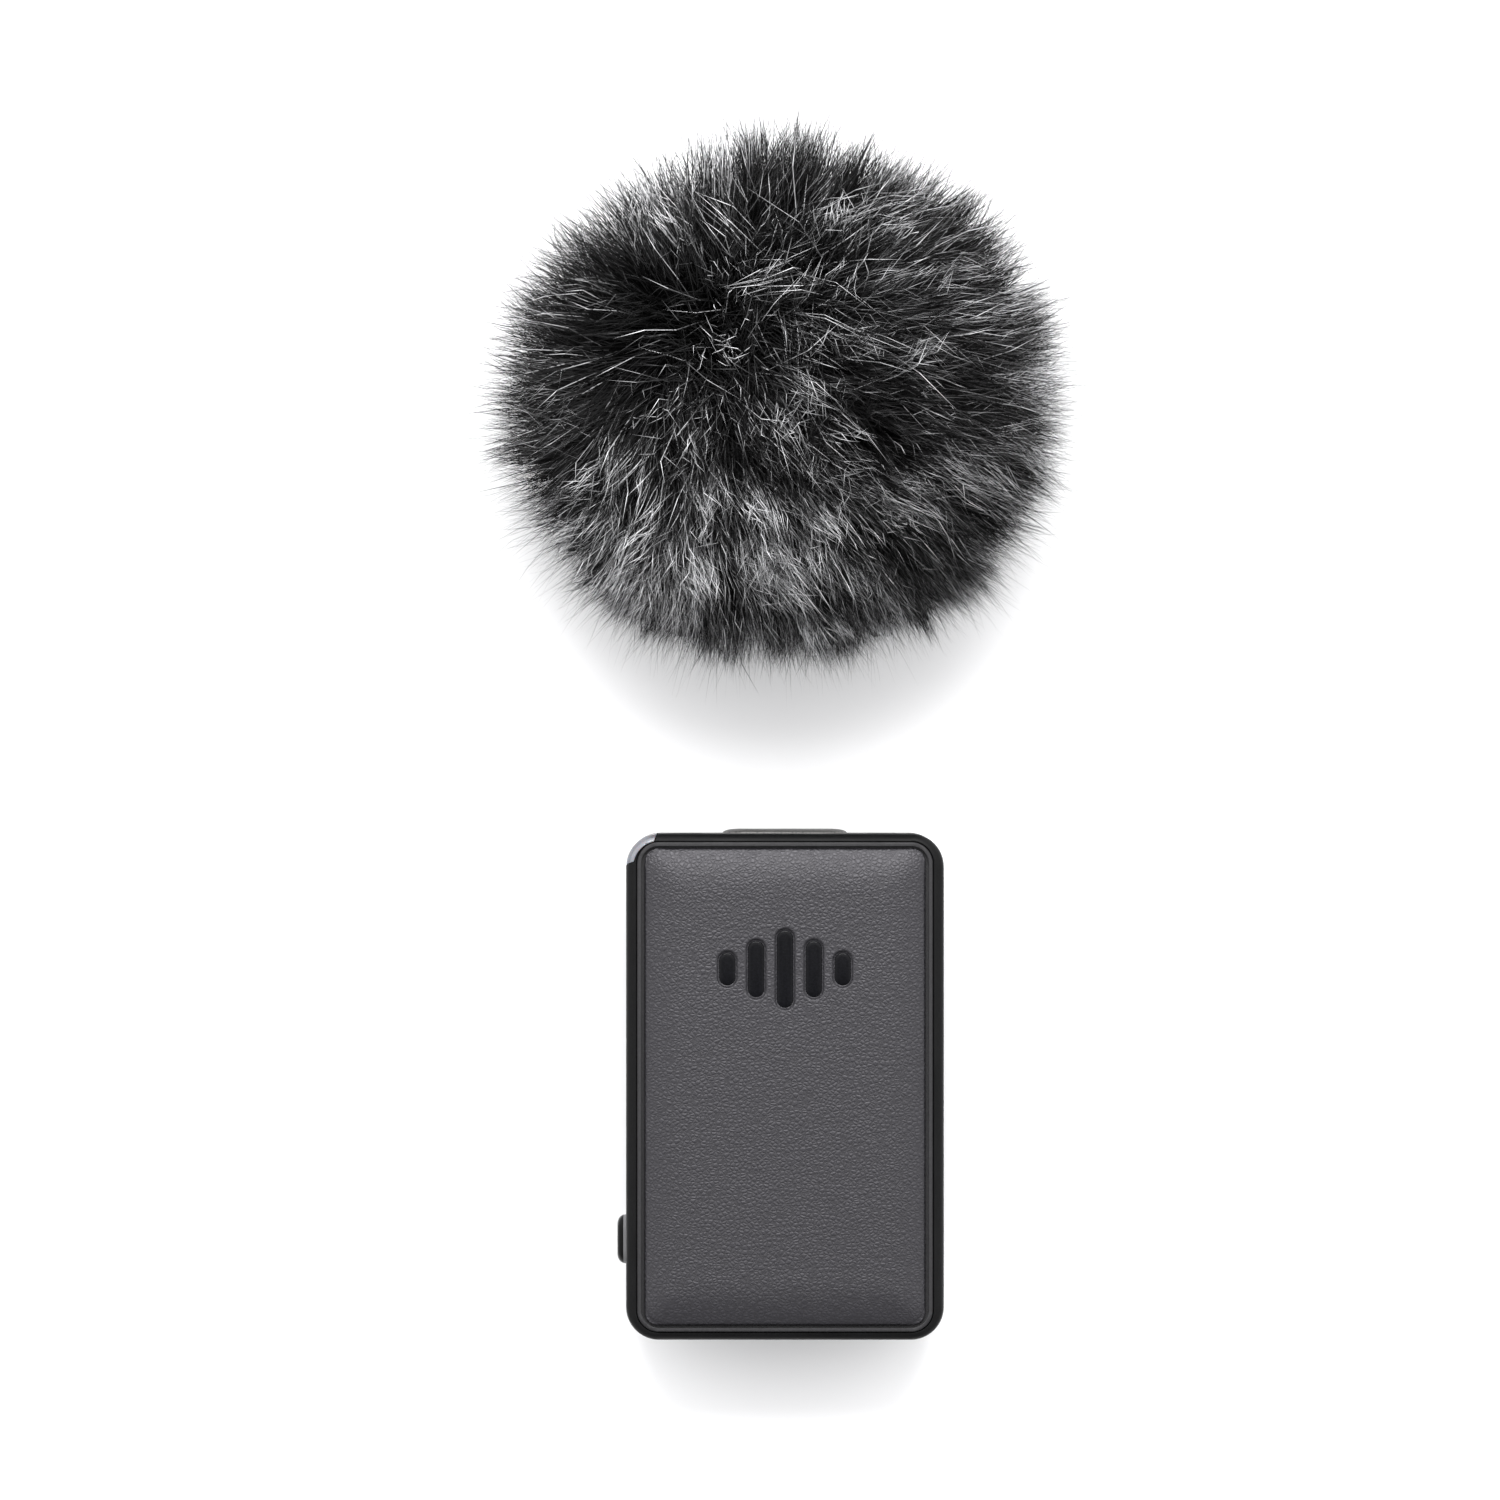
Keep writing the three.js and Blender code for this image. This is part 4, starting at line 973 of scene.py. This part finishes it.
def settled(roots, paths, width, family, rng):
    """The strands as they lie: pressed flat on the surface, and clear of where the case slides in."""
    hem_low, hem_high = node_box("windscreen_base")
    squeezed = FLOOR_SOFTNESS * np.logaddexp(0, paths[:, :, 2] / FLOOR_SOFTNESS)
    paths[:, :, 2] = squeezed + FLOOR_GAP + rng.random(len(paths))[:, None] * FLOOR_PILE
    x, y, z = (paths[:, :, axis] for axis in range(3))
    ramp_y = NECK_Y + NECK_RAMP
    over = (roots[:, 2] > OVER_NECK_Z)[:, None] & (np.abs(x) < NECK_X + NECK_MARGIN) & (y < ramp_y)
    rest = NECK_HIGH + NECK_GAP + rng.random(len(paths))[:, None] * NECK_PILE
    lift = smoothstep(ramp_y - y, 0, NECK_RAMP - NECK_MARGIN)
    paths[:, :, 2] = np.where(over, z + (np.maximum(z, rest) - z) * lift, z)
    finer = np.concatenate([paths, (paths[:, 1:] + paths[:, :-1]) / 2], axis=1)
    x, y, z = (finer[:, :, axis] for axis in range(3))
    beside = (np.abs(x) < NECK_X) & (y < NECK_Y)
    blocked = beside & (z > NECK_LOW) & (z < NECK_HIGH)
    blocked |= beside & (z <= NECK_LOW) & (y < UNDER_CASE_Y)
    root_x = roots[:, 0] / (hem_high[0] + HEM_GAP)
    root_z = (roots[:, 2] - (hem_low[2] + hem_high[2]) / 2) / HEM_HALF_H
    on_hem = (roots[:, 1] < hem_high[1] + HEM_PAST) & (root_x**4 + root_z**4 < 1)
    keep = ~blocked.any(1) & ~on_hem
    return paths[keep], width[keep], family[keep]


def strand_mesh(name, paths, width, family, materials):
    """Tapered three-sided strands, each of them closed, as one mesh."""
    count, stations = paths.shape[:2]
    heading = unit(paths[:, -1] - paths[:, 0])
    side = unit(np.cross(heading, UP + heading[:, ::-1] * 0.3))
    other = np.cross(heading, side)
    rings = []
    for k in range(stations - 1):
        radius = (STRAND_R[k] * width)[:, None]
        for corner in range(3):
            angle = corner * 2 * math.pi / 3
            rings.append(paths[:, k] + radius * (math.cos(angle) * side + math.sin(angle) * other))
    points = np.stack([*rings, paths[:, -1]], 1)
    pattern, quarter = [(0, 2, 1)], [0]
    for k in range(stations - 2):
        for corner in range(3):
            a, b = 3 * k + corner, 3 * k + (corner + 1) % 3
            pattern += [(a, b, b + 3), (a, b + 3, a + 3)]
            quarter += [k, k]
    tip, last = 3 * (stations - 1), 3 * (stations - 2)
    for corner in range(3):
        pattern.append((last + corner, last + (corner + 1) % 3, tip))
        quarter.append(stations - 2)
    faces = (np.array(pattern)[None] + np.arange(count)[:, None, None] * (tip + 1)).reshape(-1, 3)
    indices = FUR_FAMILIES[family][:, np.array(quarter)].ravel()
    return mesh_piece(name, points.reshape(-1, 3), faces, materials, indices)


def fur_materials():
    """One plain material for each tone: a strand's change of tone is in its faces."""
    made = []
    for name, (tone, shine) in FUR_TONES.items():
        sockets = {"Base Color": (tone, tone, tone * 1.02, 1), "Roughness": 0.5, "Specular IOR Level": shine}
        made.append(Look(name, **sockets).material)
    return made


CUFF_GAP = 0.25  # between the cuff and the hem ring
CLOTH_T = 0.3
BALL_TURN = 142  # degrees of the ball, from its far end, before the cuff
BALL_RINGS, DRAW_FROM = 0.82, 0.70  # the share of the rings on the ball, and where it starts to draw in


def backing_points(rings, sides):
    """The fabric under the pile: a ball that draws in to a cuff round the hem ring."""
    centre = core_centre()
    low, high = node_box("windscreen_hem_ring")
    cuff_half, cuff_middle = (high - low) / 2 + CUFF_GAP, (high + low) / 2
    around = circle(sides)
    oval = squared(around, 5)
    radius, points = CORE_R + SKIN_GAP, []
    for k in range(rings):
        t = k / (rings - 1)
        angle = min(t / BALL_RINGS, 1.0) * math.radians(BALL_TURN)
        ball_y = centre[1] + radius * math.cos(angle)
        ball = around * radius * math.sin(angle) + centre[[0, 2]]
        draw = smoothstep(t, DRAW_FROM, 1.0)
        cuff = oval * cuff_half[[0, 2]] + cuff_middle[[0, 2]]
        flat = ball + (cuff - ball) * draw
        y = ball_y + (low[1] - ball_y) * smoothstep(t, BALL_RINGS, 1.0)
        points.append(np.stack([flat[:, 0], np.full(sides, float(y)), flat[:, 1]], 1))
    return np.concatenate(points)


def windscreen(looks):
    """The pile in pieces of equal size, the fabric it grows from, and the foam inside."""
    tones = fur_materials()
    paths, width, family = grow_fur()
    order = np.argsort(np.arctan2(paths[:, 0, 0] - PILE_CENTRE[0], paths[:, 0, 1] - PILE_CENTRE[1]))
    for number, first in enumerate(range(0, len(order), STRANDS_PER_PIECE), 1):
        part = order[first : first + STRANDS_PER_PIECE]
        tuft = strand_mesh(f"fur_pile_{number}", paths[part], width[part], family[part], tones)
        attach(tuft, "windscreen")

    rings, sides = 60, 96
    points = backing_points(rings, sides)
    backing = mesh_piece("fur_backing", points, tube_faces(rings, sides), [looks["backing"]])
    wall = backing.modifiers.new("cloth", "SOLIDIFY")
    wall.thickness, wall.offset = CLOTH_T * MM, 0
    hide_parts("windscreen_fur")
    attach(backing, "windscreen")

    foam = foam_core([looks["foam"]])
    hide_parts("windscreen_foam")
    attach(foam, "windscreen")


def foam_core(materials):
    """The foam ball inside, cut flat where it meets the base."""
    centre = core_centre()
    flat_y = node_box("windscreen_foam")[0][1]
    rings, sides = 72, 128
    level = np.repeat(np.linspace(0, math.pi, rings), sides)
    x, z = np.tile(circle(sides), (rings, 1)).T * np.sin(level)
    points = centre + np.stack([x, np.cos(level), z], 1) * (CORE_R - 0.05)
    points[:, 1] = np.maximum(points[:, 1], flat_y)
    return foam_form("foam_core", points, tube_faces(rings, sides), 0.25, materials, seed=22)


# ---------------------------------------------------------------- the whole

EDGE_ANGLE = math.radians(38)  # a sharper fold than this is an edge, and anything less is a curve
EDGE_W = 0.03
BEVELS = {  # where the softened edges are wider than that
    "housing": 0.06,
    "back_cover": 0.06,
    "clip_arm": 0.08,
    "windscreen_base": 0.08,
    "side_button": 0.05,
}


def soften(node, width):
    """Smooth curves between softened edges, with the CAD mesh itself left as it is."""
    node.modifiers.new("weld", "WELD").merge_threshold = 1e-6
    bevel = node.modifiers.new("edges", "BEVEL")
    bevel.limit_method, bevel.angle_limit = "ANGLE", EDGE_ANGLE
    bevel.width, bevel.segments = width * MM, 2
    node.modifiers.new("flats", "WEIGHTED_NORMAL").weight = 100
    node.data.polygons.foreach_set("use_smooth", np.ones(len(node.data.polygons), bool))


def dress_frame(looks):
    """Gives each CAD node its slot's material, smooth curves and softened edges."""
    for part in frame["record"]["subparts"]:
        node = frame["nodes"][part["node"]]
        node.data.materials.clear()
        if part["material_slot"] == "fur":
            continue
        look = looks["trim"] if part["node"] == "front_plate" else looks[part["material_slot"]]
        node.data.materials.append(look)
        soften(node, BEVELS.get(part["node"], EDGE_W))


def main():
    bpy.context.scene.view_settings.view_transform = "Standard"
    add_camera()
    add_surroundings()
    add_floor()
    add_softbox()
    looks = part_looks()
    looks["trim"] = trim_look()
    looks["backing"] = woven_look("fur_backing_knit", (0.008, 0.008, 0.008), 0.4)
    dress_frame(looks)
    leatherette_pad([looks["leatherette"]])
    emblem_inlay([looks["gloss_inlay"]])
    acoustic_weave([looks["acoustic_cloth"]])
    battery_cushion([looks["foam"]])
    torsion_spring([looks["spring_steel"]])
    windscreen(looks)


main()
